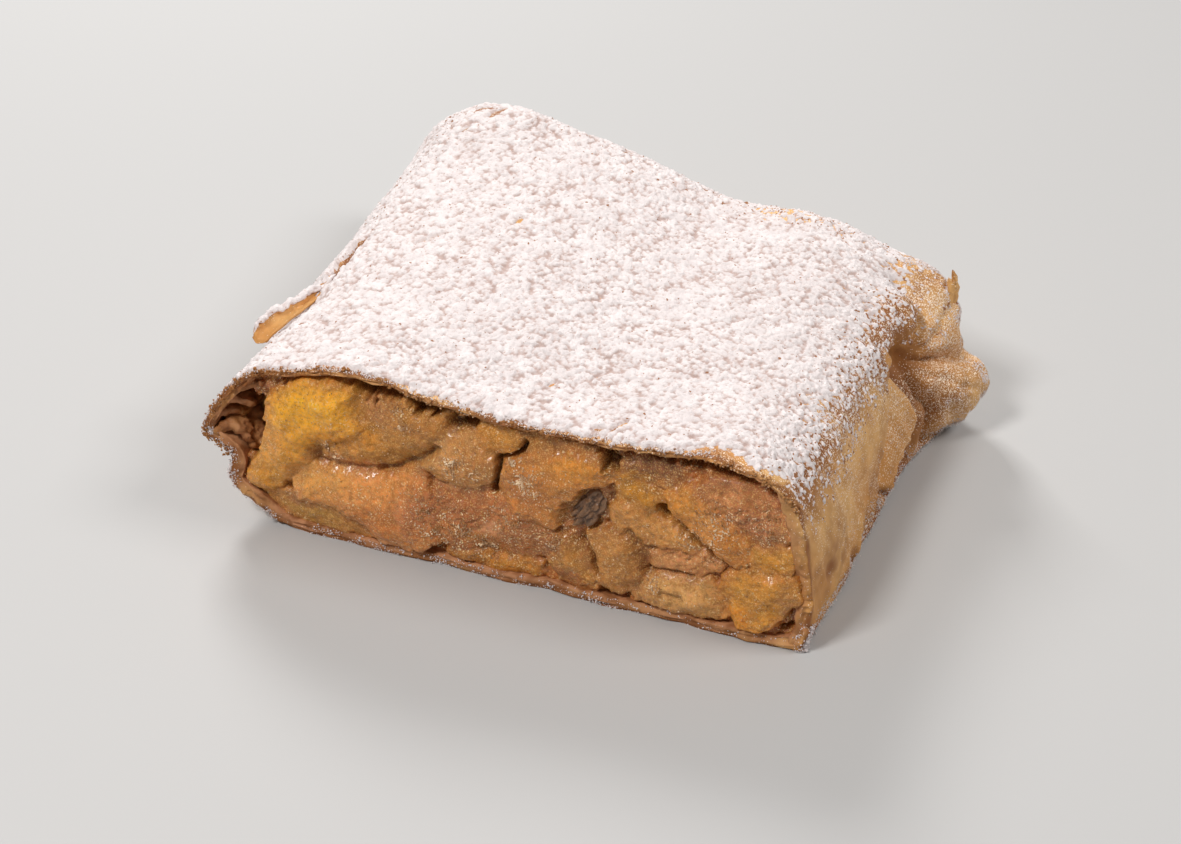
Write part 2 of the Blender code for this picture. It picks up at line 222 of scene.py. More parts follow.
def wall_point(u, share):
    """The even roll's wall; share runs from 0 at the cut to 1 where the end starts to round."""
    blend = smooth_step(share * END_Y_AT_LEFT, TIP_FOLD_STARTS_Y, TIP_FOLD_ENDS_Y)[:, None]
    place = (1 - blend) * section_point(CUT_SECTION, u) + blend * section_point(BODY_SECTION, u)
    place[:, 1] = np.maximum(place[:, 1], 0.0)
    return np.column_stack([place[:, 0], share * (end_y(place[:, 0]) - END_ROUND), place[:, 1]])


def roll_point(u, v):
    """The roll's surface. v is 0 to 1 along the wall, to 2 over the rounded end, to 3 on its flat."""
    u, v = np.asarray(u, float), np.asarray(v, float)
    wall = wall_point(u, np.clip(v, 0.0, 1.0))
    spine = np.column_stack([
        np.clip(wall[:, 0], SPINE_LEFT_X, SPINE_RIGHT_X),
        np.full(len(wall), SPINE_Z),
    ])
    away = wall[:, [0, 2]] - spine
    length = np.linalg.norm(away, axis=1)
    softness = 0.5 + 0.5 * smooth_step(wall[:, 2], 0.0, 12.0)
    angle = np.clip(v - 1.0, 0.0, 1.0) * math.pi / 2
    inset = END_ROUND * (1 - np.cos(angle)) * softness
    across = np.clip(v - 2.0, 0.0, 1.0)
    inner = spine + away * (1 - inset / length)[:, None]
    inner += (END_CENTRE - inner) * ((1 - END_FLAT_SHRINK) * across)[:, None]
    on_end = end_y(inner[:, 0]) - END_ROUND + END_ROUND * np.sin(angle) - END_TUCK * across
    y = np.where(v > 1.0, on_end, wall[:, 1])
    return relief(np.column_stack([inner[:, 0], y, inner[:, 1]]))


def unit(vectors):
    """The vectors, each made one long."""
    return vectors / np.maximum(np.linalg.norm(vectors, axis=-1, keepdims=True), 1e-9)


def grid_normals(points, rows, columns, closed):
    """Outward normals of a grid of points, from its neighbours along both ways."""
    grid = points.reshape(rows, columns, 3)
    if closed:
        around = np.roll(grid, -1, axis=1) - np.roll(grid, 1, axis=1)
    else:
        around = np.gradient(grid, axis=1)
    return unit(np.cross(around, np.gradient(grid, axis=0))).reshape(-1, 3)


def grid_faces(rows, columns, closed):
    """The faces of a grid of points; a closed one joins its last column to its first."""
    row, column = np.meshgrid(
        np.arange(rows - 1), np.arange(columns if closed else columns - 1), indexing="ij"
    )
    ahead = (column + 1) % columns
    faces = np.stack([
        row * columns + column,
        (row + 1) * columns + column,
        (row + 1) * columns + ahead,
        row * columns + ahead,
    ], axis=-1)
    return faces.reshape(-1, 4).tolist()


def tube_faces(rows, columns):
    """The faces of a closed grid, with a face over each end."""
    last_row = (rows - 1) * columns
    ends = [tuple(range(columns)), tuple(last_row + column for column in reversed(range(columns)))]
    return grid_faces(rows, columns, True) + ends


def new_object(name, data):
    """An object with this mesh, light or camera, put into the scene."""
    obj = bpy.data.objects.new(name, data)
    bpy.context.scene.collection.objects.link(obj)
    return obj


def add_mesh(name, points, faces, material):
    """A smooth piece from points in the roll's frame."""
    mesh = bpy.data.meshes.new(name)
    mesh.from_pydata(((np.asarray(points) + ROLL_TO_ROW) * MM).tolist(), [], faces)
    mesh.validate()
    mesh.shade_smooth()
    mesh.materials.append(material)
    return new_object(name, mesh)


def paint(obj, name, values):
    """Keeps a value from 0 to 1 at each point for the material to read."""
    layer = obj.data.attributes.new(name, "FLOAT", "POINT")
    layer.data.foreach_set("value", np.clip(values, 0.0, 1.0).astype(np.float32))


def tidy_normals(obj):
    """Turns every face of the piece outwards."""
    shape = bmesh.new()
    shape.from_mesh(obj.data)
    bmesh.ops.recalc_face_normals(shape, faces=shape.faces)
    shape.to_mesh(obj.data)
    shape.free()


def material_named(name, roughness):
    """A new material, with its tree of nodes and its shader."""
    material = bpy.data.materials.new(name)
    material.use_nodes = True
    shader = material.node_tree.nodes["Principled BSDF"]
    shader.inputs["Roughness"].default_value = roughness
    return material, material.node_tree, shader


def node_of(tree, kind, **settings):
    """A new node of this kind in the material's tree, with its settings."""
    node = tree.nodes.new(kind)
    for name, value in settings.items():
        setattr(node, name, value)
    return node


def noise_of(tree, scale, detail=3.0, roughness=0.5):
    """Noise on the object's own place; scale is in bumps a metre."""
    place = node_of(tree, "ShaderNodeTexCoord")
    noise = node_of(tree, "ShaderNodeTexNoise")
    noise.inputs["Scale"].default_value = scale
    noise.inputs["Detail"].default_value = detail
    noise.inputs["Roughness"].default_value = roughness
    tree.links.new(place.outputs["Object"], noise.inputs["Vector"])
    return noise.outputs["Fac"]


def ramp_of(tree, value, low, high):
    """The value stretched so that low becomes 0 and high becomes 1."""
    spread = node_of(tree, "ShaderNodeMapRange", clamp=True)
    spread.interpolation_type = "SMOOTHSTEP"
    spread.inputs["From Min"].default_value = low
    spread.inputs["From Max"].default_value = high
    tree.links.new(value, spread.inputs["Value"])
    return spread.outputs["Result"]


def feed(tree, socket, value):
    """Gives the socket a number, a colour or another node's output."""
    if isinstance(value, bpy.types.NodeSocket):
        tree.links.new(value, socket)
    elif isinstance(value, tuple):
        socket.default_value = (*value, 1.0)
    else:
        socket.default_value = value


def mix_of(tree, share, first, second):
    """Two colours mixed; each may be a colour or another node's output."""
    mix = node_of(tree, "ShaderNodeMix", data_type="RGBA")
    for socket, value in ((mix.inputs[0], share), (mix.inputs[6], first), (mix.inputs[7], second)):
        feed(tree, socket, value)
    return mix.outputs[2]


def math_of(tree, operation, first, second):
    """The two values put together by one operation and kept from 0 to 1."""
    step = node_of(tree, "ShaderNodeMath", operation=operation, use_clamp=True)
    feed(tree, step.inputs[0], first)
    feed(tree, step.inputs[1], second)
    return step.outputs["Value"]


def times(tree, first, second):
    return math_of(tree, "MULTIPLY", first, second)


def plus(tree, first, second):
    return math_of(tree, "ADD", first, second)


def painted(tree, name):
    """The value that was painted on the piece's points under this name."""
    return node_of(tree, "ShaderNodeAttribute", attribute_name=name).outputs["Fac"]


def bump_of(tree, shader, height, distance, strength):
    """Fine relief in the shading, this many millimetres high."""
    bump = node_of(tree, "ShaderNodeBump")
    bump.inputs["Distance"].default_value = distance * MM
    bump.inputs["Strength"].default_value = strength
    tree.links.new(height, bump.inputs["Height"])
    tree.links.new(bump.outputs["Normal"], shader.inputs["Normal"])


DUST_OVER_DOUGH = (0.88, 0.72, 0.55)
DOUGH_PALE = (0.74, 0.42, 0.155)
DOUGH_TAN = (0.60, 0.28, 0.08)
# The dough's baked brown, also used as painted shade in the right wall's groove and pinch
BROWN_BAKE_AND_SHADE = (0.27, 0.095, 0.025)
DOUGH_MOIST = (0.50, 0.225, 0.10)
DOUGH_SYRUPY = (0.30, 0.115, 0.04)


def dots_of(tree, scale, share):
    """Round dots, one to a cell, in about this share of the cells."""
    place = node_of(tree, "ShaderNodeTexCoord")
    cell = node_of(tree, "ShaderNodeTexVoronoi")
    cell.inputs["Scale"].default_value = scale
    tree.links.new(place.outputs["Object"], cell.inputs["Vector"])
    apart = node_of(tree, "ShaderNodeSeparateColor")
    tree.links.new(cell.outputs["Color"], apart.inputs["Color"])
    chosen = ramp_of(tree, math_of(tree, "SUBTRACT", share, apart.outputs["Red"]), 0.0, 0.05)
    near = node_of(tree, "ShaderNodeMapRange", clamp=True)
    near.inputs["From Min"].default_value = 0.46
    near.inputs["From Max"].default_value = 0.30
    tree.links.new(cell.outputs["Distance"], near.inputs["Value"])
    return times(tree, chosen, near.outputs["Result"])


def dough_material():
    material, tree, shader = material_named("baked_dough", 0.62)
    patches = noise_of(tree, 60.0, 4.0)
    blisters = noise_of(tree, 420.0, 3.0)
    grain = noise_of(tree, 3400.0, 1.0)
    tan = mix_of(tree, ramp_of(tree, patches, 0.36, 0.64), DOUGH_PALE, DOUGH_TAN)
    # The bake value holds the oven's browning and, on the right wall, painted shade in the groove and the
    # pinch and a painted highlight before the pleat
    bake_and_shade = plus(tree, painted(tree, "bake_and_shade"), times(tree, blisters, 0.2))
    browned_or_shaded = mix_of(tree, ramp_of(tree, bake_and_shade, 0.28, 0.85), tan, BROWN_BAKE_AND_SHADE)
    inside = mix_of(tree, ramp_of(tree, blisters, 0.4, 0.62), DOUGH_MOIST, DOUGH_SYRUPY)
    moist = mix_of(tree, painted(tree, "moist"), browned_or_shaded, inside)
    fine_dots = dots_of(tree, 4300.0, painted(tree, "dust"))
    large_dots = dots_of(tree, 2500.0, math_of(tree, "SUBTRACT", painted(tree, "dust"), 0.3))
    specks = math_of(tree, "MAXIMUM", fine_dots, large_dots)
    dusted = mix_of(tree, specks, moist, DUST_OVER_DOUGH)
    tree.links.new(dusted, shader.inputs["Base Color"])
    height = plus(tree, times(tree, blisters, 0.6), times(tree, grain, 0.4))
    bump_of(tree, shader, height, 0.35, 0.7)
    shader.inputs["Specular IOR Level"].default_value = 0.3
    return material


# How far apart the dough's points lie, for each stretch of the section from the lower left
# round over the top, and along the roll
STEPS_PER_POINT = (8, 8, 9, 9, 8, 9, 10, 10, 8, 8, 10, 10, 10, 10, 12, 14, 18, 18, 16, 8, 12, 12, 10)
RIM_STATIONS = 16
WALL_STATIONS = 150
END_STATIONS = 22
FLAT_STATIONS = 14


def dough_columns():
    """Where round the section the dough's points lie."""
    columns = []
    for point, steps in enumerate(STEPS_PER_POINT):
        columns.append(point + np.arange(steps) / steps)
    return np.concatenate(columns)


def dough_rows():
    """Where along the roll the dough's points lie, closest together at the cut."""
    rim = np.linspace(0.0, 0.05, RIM_STATIONS, endpoint=False)
    wall = np.linspace(0.05, 1.0, WALL_STATIONS, endpoint=False)
    end = np.linspace(1.0, 2.0, END_STATIONS, endpoint=False)
    flat = np.linspace(2.0, 3.0, FLAT_STATIONS)
    return np.concatenate([rim, wall, end, flat])


# The edge of the pleat that overlaps the rear corner, a smaller crease at its foot, and the
# point where the corner was pinched, all as (y, z) on the right wall
PLEAT_EDGE = (
    (50, 31), (52, 27.5), (54.5, 23.5), (57, 17), (58, 12), (57.5, 8.5), (54, 6.2), (50, 4.4), (45, 0),
)
FOOT_CREASE = ((45.5, 3.0), (41, 6.5), (37, 7.8), (31, 9.5), (27.4, 10.5), (26.4, 6), (26, 0))
PINCH = (59.5, 21.0)
PLEATS_APART = math.radians(31.0)
FAN_MIDDLE = 0.62
FAN_DEPTH = 2.7
PINCH_DEPTH = 1.5


def across_line(y, z, line):
    """How far each point lies behind the line from top to foot, negative in front of it."""
    nearest = np.full(len(y), 1e9)
    side = np.zeros(len(y))
    for start, finish in zip(line, line[1:]):
        gap = line_distance(y, z, start, finish)
        turn = (finish[0] - start[0]) * (z - start[1]) - (finish[1] - start[1]) * (y - start[0])
        side = np.where(gap < nearest, np.sign(turn), side)
        nearest = np.minimum(nearest, gap)
    return nearest * side


def line_distance(x, z, start, finish):
    """How far each point lies from the straight stretch between two places."""
    run_x, run_z = finish[0] - start[0], finish[1] - start[1]
    share = np.clip(((x - start[0]) * run_x + (z - start[1]) * run_z) / (run_x**2 + run_z**2), 0, 1)
    return np.hypot(x - start[0] - share * run_x, z - start[1] - share * run_z)


def ledge(behind, starts, full, fades):
    """A sharp step behind a line, which fades out over the distance given last."""
    return smooth_step(behind, starts, full) * np.exp(-np.maximum(behind, 0.0) / fades)


def wall_folds(points):
    """The overlapping pleat, the crease at its foot and the pinched folds of the right wall."""
    y, z = points[:, 1], points[:, 2]
    wander = 0.35 * soft_noise(points, 7.0, 16)
    behind = across_line(y + wander, z + wander, PLEAT_EDGE)
    inside = smooth_step(z, -1.0, 3.0) * fade_out(z, 23.0, 29.0)
    folds = inside * (0.4 * bell(behind, -1.2, 1.3) - 2.1 * ledge(behind, -0.3, 0.5, 4.5))
    foot = across_line(y + wander, z + wander, FOOT_CREASE)
    at_foot = fade_out(z, 9.5, 13.0)
    folds += at_foot * (0.6 * bell(foot, -1.0, 0.9) - 1.3 * ledge(foot, -0.2, 0.4, 1.8))
    away_y, away_z = y - PINCH[0], z - PINCH[1]
    reach = np.hypot(away_y, away_z)
    turns = (np.arctan2(away_z, away_y) + 0.16 * soft_noise(points, 5.0, 17)) / PLEATS_APART * math.pi
    fan = np.abs(np.sin(turns / 2 + 0.6)) - FAN_MIDDLE
    fan += 0.4 * (np.abs(np.sin(turns + 1.1)) - FAN_MIDDLE)
    on_lobe = smooth_step(y, 56.0, 62.0) * smooth_step(reach, 1.5, 7.0)
    folds += FAN_DEPTH * fan * on_lobe * fade_out(reach, 20.0, 36.0)
    folds -= PINCH_DEPTH * bell(reach, 0.0, 2.0)
    return folds


def dough_wrinkles(points):
    """How far the dried dough stands out of its even form."""
    x, y, z = points.T
    above_floor = smooth_step(z, 0.2, 3.0)
    slow = sum_noise(points, (0.35, 14.0, 11), (0.22, 7.0, 12))
    on_right = smooth_step(x, 45.0, 53.0)
    along = np.column_stack([x, y + z * 0.55, z * 0.3])
    creases = 0.3 - 0.95 * np.abs(soft_noise(along, 3.6, 13))
    creases -= 0.5 * np.abs(soft_noise(along, 1.7, 14))
    blisters = 0.22 * smooth_step(z, 28.0, 32.0) * soft_noise(points, 3.2, 15)
    fine = 0.10 * soft_noise(points, 1.1, 18)
    under_curl = smooth_step(z, 19.0, 24.0) * bell(x, -49.5, 4.2) * bell(y, 26.0, 8.0)
    opened = 1.2 * slit(points) + 2.3 * under_curl - 1.5 * slit_lip(points)
    return above_floor * (slow + blisters + fine - opened
                          + on_right * (0.7 * creases + wall_folds(points)))


def dough_surface(u, v, rows, columns, closed):
    """The dough's outer surface with its wrinkles, and its normals."""
    even = roll_point(u, v)
    normal = grid_normals(even, rows, columns, closed)
    return even + normal * dough_wrinkles(even)[:, None], normal


def rim_shift(points):
    """The torn cut edge: how far the dough stands in front of the cut plane at each point."""
    on_top = smooth_step(points[:, 2], 29.0, 33.0)
    ragged = sum_noise(points, (0.45, 2.2, 21), (0.3, 0.9, 22))
    ragged += 0.2 * soft_noise(points, 0.5, 24)
    slow = 0.6 * soft_noise(points, 11.0, 23)
    return -(0.5 * on_top + (0.6 + 0.4 * on_top) * (ragged + slow))


def move_to_rim(points, v):
    """Brings the points nearest the cut out to the torn edge."""
    points[:, 1] += (1.0 - smooth_step(v, 0.0, RIM_REACH)) * rim_shift(points)


RIM_RINGS = 6
RIM_REACH = 0.03
INNER_ROWS = np.concatenate([
    np.linspace(0.0, 0.2, 18, endpoint=False), np.linspace(0.2, 1.0, 9), (1.4, 1.8, 2.0, 2.5, 3.0),
])
INNER_WRINKLES = 0.4
STAYS_SHARP = math.radians(42)


def in_lobe(x, y):
    """Where the doubled dough of the rear right corner lies, from 0 to 1."""
    return smooth_step(x, 42.0, 50.0) * smooth_step(y, 12.0, 26.0)


def dough_thickness(points):
    """Thinner along the top of the cut, thicker beside it and low on the left, doubled in the lobe."""
    x, y, z = points.T
    near_cut = fade_out(y, 0.0, 9.0)
    thickness = DOUGH_THICK + 0.25 * soft_noise(points, 5.0, 24)
    thickness -= 0.8 * smooth_step(z, 29.0, 33.0) * near_cut
    thickness += 0.9 * smooth_step(x, 50.0, 54.0) * near_cut
    thickness += 0.9 * smooth_step(-x, 38.0, 46.0) * fade_out(z, 12.0, 20.0) * near_cut
    return thickness + 5.0 * in_lobe(x, y)


def inner_surface(columns):
    """The moist inner side of the dough."""
    u, v = (grid.ravel() for grid in np.meshgrid(columns, INNER_ROWS))
    even = roll_point(u, v)
    normal = grid_normals(even, len(INNER_ROWS), len(columns), True)
    stands_out = np.minimum(dough_wrinkles(even), INNER_WRINKLES)
    inner = even + normal * (stands_out - dough_thickness(even))[:, None]
    inner[:, 1] = np.maximum(inner[:, 1], 0.0)
    return inner


def torn_rim(outer_edge, inner_edge):
    """The torn edge in rings from the outer side to the inner, and how far in each point lies."""
    share = np.linspace(0, 1, RIM_RINGS + 2)[1:-1]
    rim = np.concatenate([outer_edge * (1 - part) + inner_edge * part for part in share])
    rim_share = np.repeat(share, len(outer_edge))
    layered = np.column_stack([rim[:, 0] * 0.35, rim_share * 5.0, rim[:, 2] * 0.35])
    rim[:, 1] += 0.45 * soft_noise(layered, 1.0, 25) - 0.25 * np.sin(rim_share * math.pi)
    rim[:, 1] += sum_noise(rim, (0.35, 0.9, 26), (0.2, 0.5, 27))
    return rim, rim_share


def dough_faces(depth, count):
    """Outer side, rings of the torn edge, inner side and the two faces at the tucked end."""
    rim_start = depth * count
    start = rim_start + RIM_RINGS * count
    faces = grid_faces(depth, count, True)
    rings = [0] + [rim_start + ring * count for ring in range(RIM_RINGS)] + [start]
    for ring, following in zip(rings, rings[1:]):
        for column in range(count):
            ahead = (column + 1) % count
            faces.append((ring + column, ring + ahead, following + ahead, following + column))
    inner_faces = grid_faces(len(INNER_ROWS), count, True)
    faces += [tuple(start + corner for corner in reversed(face)) for face in inner_faces]
    faces.append(tuple((depth - 1) * count + column for column in range(count)))
    last = start + (len(INNER_ROWS) - 1) * count
    faces.append(tuple(last + column for column in reversed(range(count))))
    return faces


def outer_looks(points, normal):
    """How brown and how dusty the outer side is at each point, with painted shade in the groove behind
    the pleat and in the pinched pit, and a painted highlight on the ridge before the pleat.
    """
    x, y, z = points.T
    right_wall = smooth_step(x, 48.0, 54.0)
    from_shoulder = smooth_step(x, 45.0, 53.0)
    shoulder = bell(z, 30.0, 4.0) * smooth_step(x, 40.0, 50.0) * (1 - 0.75 * smooth_step(y, 55.0, 70.0))
    rear_shoulder = smooth_step(y, 84.0, 104.0) * smooth_step(z, 22.0, 32.0)
    behind = across_line(y, z, PLEAT_EDGE)
    # Painted highlight: the dough is paler on the ridge just in front of the pleat's edge
    pleat_edge_highlight = right_wall * bell(behind, -1.2, 1.0)
    # Painted shade: the groove behind the pleat and the pinched pit are browned where shade falls in them
    groove_shade = from_shoulder * smooth_step(behind, -0.2, 0.6) * np.exp(-np.abs(behind) / 3.0)
    groove_shade *= fade_out(z, 22.0, 28.0)
    pinch_shade = from_shoulder * bell(y, PINCH[0], 4.0) * bell(z, PINCH[1], 4.0)
    lobe_foot = smooth_step(x, 50.0, 56.0) * smooth_step(y, 60.0, 66.0) * fade_out(z, 18.0, 25.0)
    bare_front = bell(x, 39.5, 5.0) * fade_out(y, 1.5, 4.5) * smooth_step(z, 28.0, 32.0)
    bake_and_shade = 0.22 + sum_noise(points, (0.22, 12.0, 31), (0.14, 3.0, 34))
    bake_and_shade += right_wall * (0.13 + sum_noise(points, (0.07, 2.2, 32), (0.05, 1.0, 33)))
    bake_and_shade += 0.34 * shoulder + 0.35 * rear_shoulder + 0.12 * lobe_foot + 0.35 * bare_front
    # Painted shade in the groove and the pinch, and a painted highlight on the ridge before the pleat
    bake_and_shade += 0.42 * groove_shade + 0.28 * pinch_shade - 0.25 * pleat_edge_highlight
    bake_and_shade += 0.25 * fade_out(y, 0.0, 1.2) + 0.3 * smooth_step(-x, 40.0, 52.0)
    bake_and_shade += 0.3 * bell(z, 0.0, 2.0) + 0.4 * torn(points) + 0.45 * slit(points)
    dust = 0.46 * smooth_step(normal[:, 2], 0.0, 0.8)
    dust += right_wall * (0.27 + 0.4 * soft_noise(points, 5.0, 36))
    dust += 0.42 * smooth_step(x, 53.0, 59.0) * smooth_step(y, 60.0, 68.0)
    dust -= 0.3 * smooth_step(x, 50.0, 54.0) * fade_out(y, 4.0, 20.0)
    # Less dust in the groove and the pinch, as part of their painted shade
    dust -= 0.3 * groove_shade + 0.45 * pinch_shade
    return bake_and_shade, dust


def rim_looks(rim, rim_share):
    """How brown and how moist the torn edge is at each point."""
    x, z = rim[:, 0], rim[:, 2]
    on_top = smooth_step(z, 24.0, 30.0) * fade_out(x, 38.0, 50.0)
    on_right = smooth_step(x, 47.0, 52.0)
    on_left = smooth_step(-x, 41.0, 49.0)
    patchy = soft_noise(rim, 1.3, 35) + 0.5 * soft_noise(rim, 5.0, 37)
    bake_and_shade = (0.55 + 0.1 * on_top) * (1 - 0.6 * smooth_step(rim_share, 0.0, 0.5)) + 0.05 * on_top
    bake_and_shade += 0.12 + 0.45 * patchy + 0.3 * fade_out(z, 1.0, 5.0)
    bake_and_shade += 0.22 * on_left - 0.3 * on_right
    moist = smooth_step(rim_share, 0.05, 0.5) * (0.8 - 0.5 * on_top - 0.3 * on_right)
    moist += 0.35 * soft_noise(rim, 1.7, 38) - 0.35 * on_left
    return bake_and_shade, moist


def make_dough():
    columns, rows = dough_columns(), dough_rows()
    count, depth = len(columns), len(rows)
    u, v = (grid.ravel() for grid in np.meshgrid(columns, rows))
    outer, normal = dough_surface(u, v, depth, count, True)
    move_to_rim(outer, v)
    inner = inner_surface(columns)
    inner[:count, 1] += rim_shift(outer[:count]) * 0.8 + 0.15
    rim, rim_share = torn_rim(outer[:count], inner[:count])
    points = np.vstack([outer, rim, inner])
    points[:, 2] = np.maximum(points[:, 2], 0.0)
    obj = add_mesh("dough", points, dough_faces(depth, count), DOUGH)
    tidy_normals(obj)
    obj.data.set_sharp_from_angle(angle=STAYS_SHARP)
    bake_and_shade, dust = outer_looks(outer, normal)
    rim_bake, rim_moist = rim_looks(rim, rim_share)
    paint(obj, "bake_and_shade", np.concatenate([bake_and_shade, rim_bake, np.full(len(inner), 0.3)]))
    paint(obj, "dust", np.concatenate([dust, 0.2 * (1 - rim_share), np.zeros(len(inner))]))
    paint(obj, "moist", np.concatenate([np.zeros(len(outer)), rim_moist, np.ones(len(inner))]))
    as_dough(obj)


def as_dough(obj):
    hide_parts("pastry_shell")
    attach(obj, BODY)


# Small tears in the top where the dough shows, as (x, y, turn from the x axis, length, width)
TEARS = (
    (-36.0, 21.7, 20.0, 1.6, 0.5),
    (-34.4, 47.4, 62.0, 1.3, 0.4),
    (-32.2, 50.0, 40.0, 1.5, 0.4),
    (-19.7, 59.4, 80.0, 0.9, 0.5),
    (-45.0, 90.4, 50.0, 1.6, 0.6),
    (21.4, 3.9, 60.0, 1.6, 0.35),
    (18.6, 2.2, 10.0, 1.0, 0.35),
    (-10.9, 92.4, 20.0, 0.9, 0.5),
    (-44.0, 99.0, 10.0, 2.2, 0.8),
    (-40.0, 97.0, 70.0, 2.6, 0.7),
    (-46.0, 12.5, 94.0, 4.6, 0.45),
    (6.0, 12.0, 70.0, 0.8, 0.3),
)


# The slit along the left shoulder, as (x, y)
SLIT = ((-47.3, 34.0), (-47.9, 38.5), (-47.7, 42.4), (-48.1, 46.9), (-47.8, 50.6), (-47.2, 53.2))


def slit(points):
    """How deep in the slit of the left shoulder each point lies, from 0 to 1."""
    x, y, z = points.T
    left = across_line(x, y, SLIT)
    width = 0.85 + 0.25 * soft_noise(points, 1.6, 19)
    reach = smooth_step(y, 33.8, 35.6) * fade_out(y, 51.0, 53.0)
    return np.exp(-(((left + 0.35) / width) ** 4)) * reach * smooth_step(z, 18.0, 22.0)


def slit_lip(points):
    """How far the lip on the outer side of the slit stands up, from 0 to 1."""
    x, y, z = points.T
    lip = ledge(across_line(x, y, SLIT), -0.1, 0.5, 1.8)
    reach = smooth_step(y, 33.5, 37.0) * fade_out(y, 49.0, 54.0)
    return lip * reach * smooth_step(z, 18.0, 22.0)


def torn(points):
    """How strongly a tear opens the sugar at each point, from 0 to 1."""
    strength = slit(points)
    for x, y, turn, length, width in TEARS:
        away_x, away_y = points[:, 0] - x, points[:, 1] - y
        cosine, sine = math.cos(math.radians(turn)), math.sin(math.radians(turn))
        along = (away_x * cosine + away_y * sine) / length
        across = (away_y * cosine - away_x * sine) / width
        strength = np.maximum(strength, np.exp(-(along**4) - across**2))
    return strength


DOUGH = dough_material()
make_dough()

# The loose flakes of dough. One curled away from the left shoulder as it dried, a sliver stands up
# at the rear right, and four thin layers were folded into the left tip when the roll was closed.

# Each flake: its base line and its tip line from front to back, how far its middle bows out,
# how much sugar lies on its outer side, and its thickness
FLAKES = {
    "flake_curled": (
        ((-51.4, 16.9, 26.2), (-50.9, 18.5, 26.4), (-50.2, 22.0, 26.8), (-49.2, 26.5, 27.6),
         (-48.0, 31.0, 28.4), (-47.0, 35.5, 29.2)),
        ((-53.8, 17.0, 26.6), (-53.6, 18.7, 29.2), (-52.8, 22.6, 29.4), (-51.2, 27.0, 29.3),
         (-49.7, 31.3, 29.2), (-48.2, 35.6, 29.2)),
        (-0.3, 0.0, -0.9), 0.2, 0.6,
    ),
    "flake_sliver": (
        ((57.9, 73.0, 24.6), (58.6, 74.6, 23.8), (58.8, 76.4, 23.2), (58.4, 78.4, 22.8)),
        ((57.9, 74.4, 31.0), (58.4, 74.9, 32.6), (58.8, 75.5, 32.5), (58.6, 76.4, 31.0)),
        (0.9, -0.3, 0.0), 0.35, 0.9,
    ),
    "tip_fold_low": (
        ((-53.2, 0.3, 16.6), (-50.8, 0.6, 18.4), (-48.4, 1.2, 17.6), (-45.8, 2.2, 13.6)),
        ((-52.6, 12, 17.4), (-50.2, 12, 19.2), (-48.0, 12, 18.0), (-45.4, 12, 14.4)),
        (0.0, 0.0, 0.3), 0.0, 1.7,
    ),
    "tip_fold_middle": (
        ((-54.0, 0.4, 18.0), (-52.4, 0.8, 20.6), (-50.6, 1.6, 21.2), (-48.6, 3.4, 19.4)),
        ((-53.4, 11, 18.6), (-52.0, 11, 21.4), (-50.0, 11, 22.0), (-48.0, 11, 20.4)),
        (0.0, 0.0, -0.3), 0.0, 1.8,
    ),
    "tip_fold_high": (
        ((-53.0, 0.2, 21.6), (-50.6, 0.5, 23.8), (-48.0, 1.0, 24.2), (-45.8, 2.4, 22.8)),
        ((-52.6, 11, 22.2), (-50.2, 11, 24.6), (-47.4, 11, 25.0), (-45.4, 11, 23.6)),
        (0.0, 0.0, -0.3), 0.0, 1.3,
    ),
    "tip_fold_top": (
        ((-51.0, 0.3, 24.2), (-48.6, 0.4, 26.6), (-45.4, 0.6, 28.4), (-42.6, 0.9, 29.4)),
        ((-50.4, 12, 24.8), (-48.0, 12, 26.8), (-45.0, 12, 28.4), (-42.2, 12, 29.6)),
        (0.4, 0.0, -0.5), 0.0, 1.4,
    ),
}
FLAKE_ALONG = 70
FLAKE_ACROSS = 32


def along_line(line, share):
    """The open smooth curve through the line's points, where share runs from 0 to 1."""
    line = np.array(line, float)
    place = share * (len(line) - 1)
    ends = np.vstack([2 * line[0] - line[1], line, 2 * line[-1] - line[-2]])
    whole = np.minimum(np.floor(place).astype(int), len(line) - 2)
    corners = [ends[whole + step] for step in range(4)]
    return curve_between(*corners, (place - whole)[:, None])


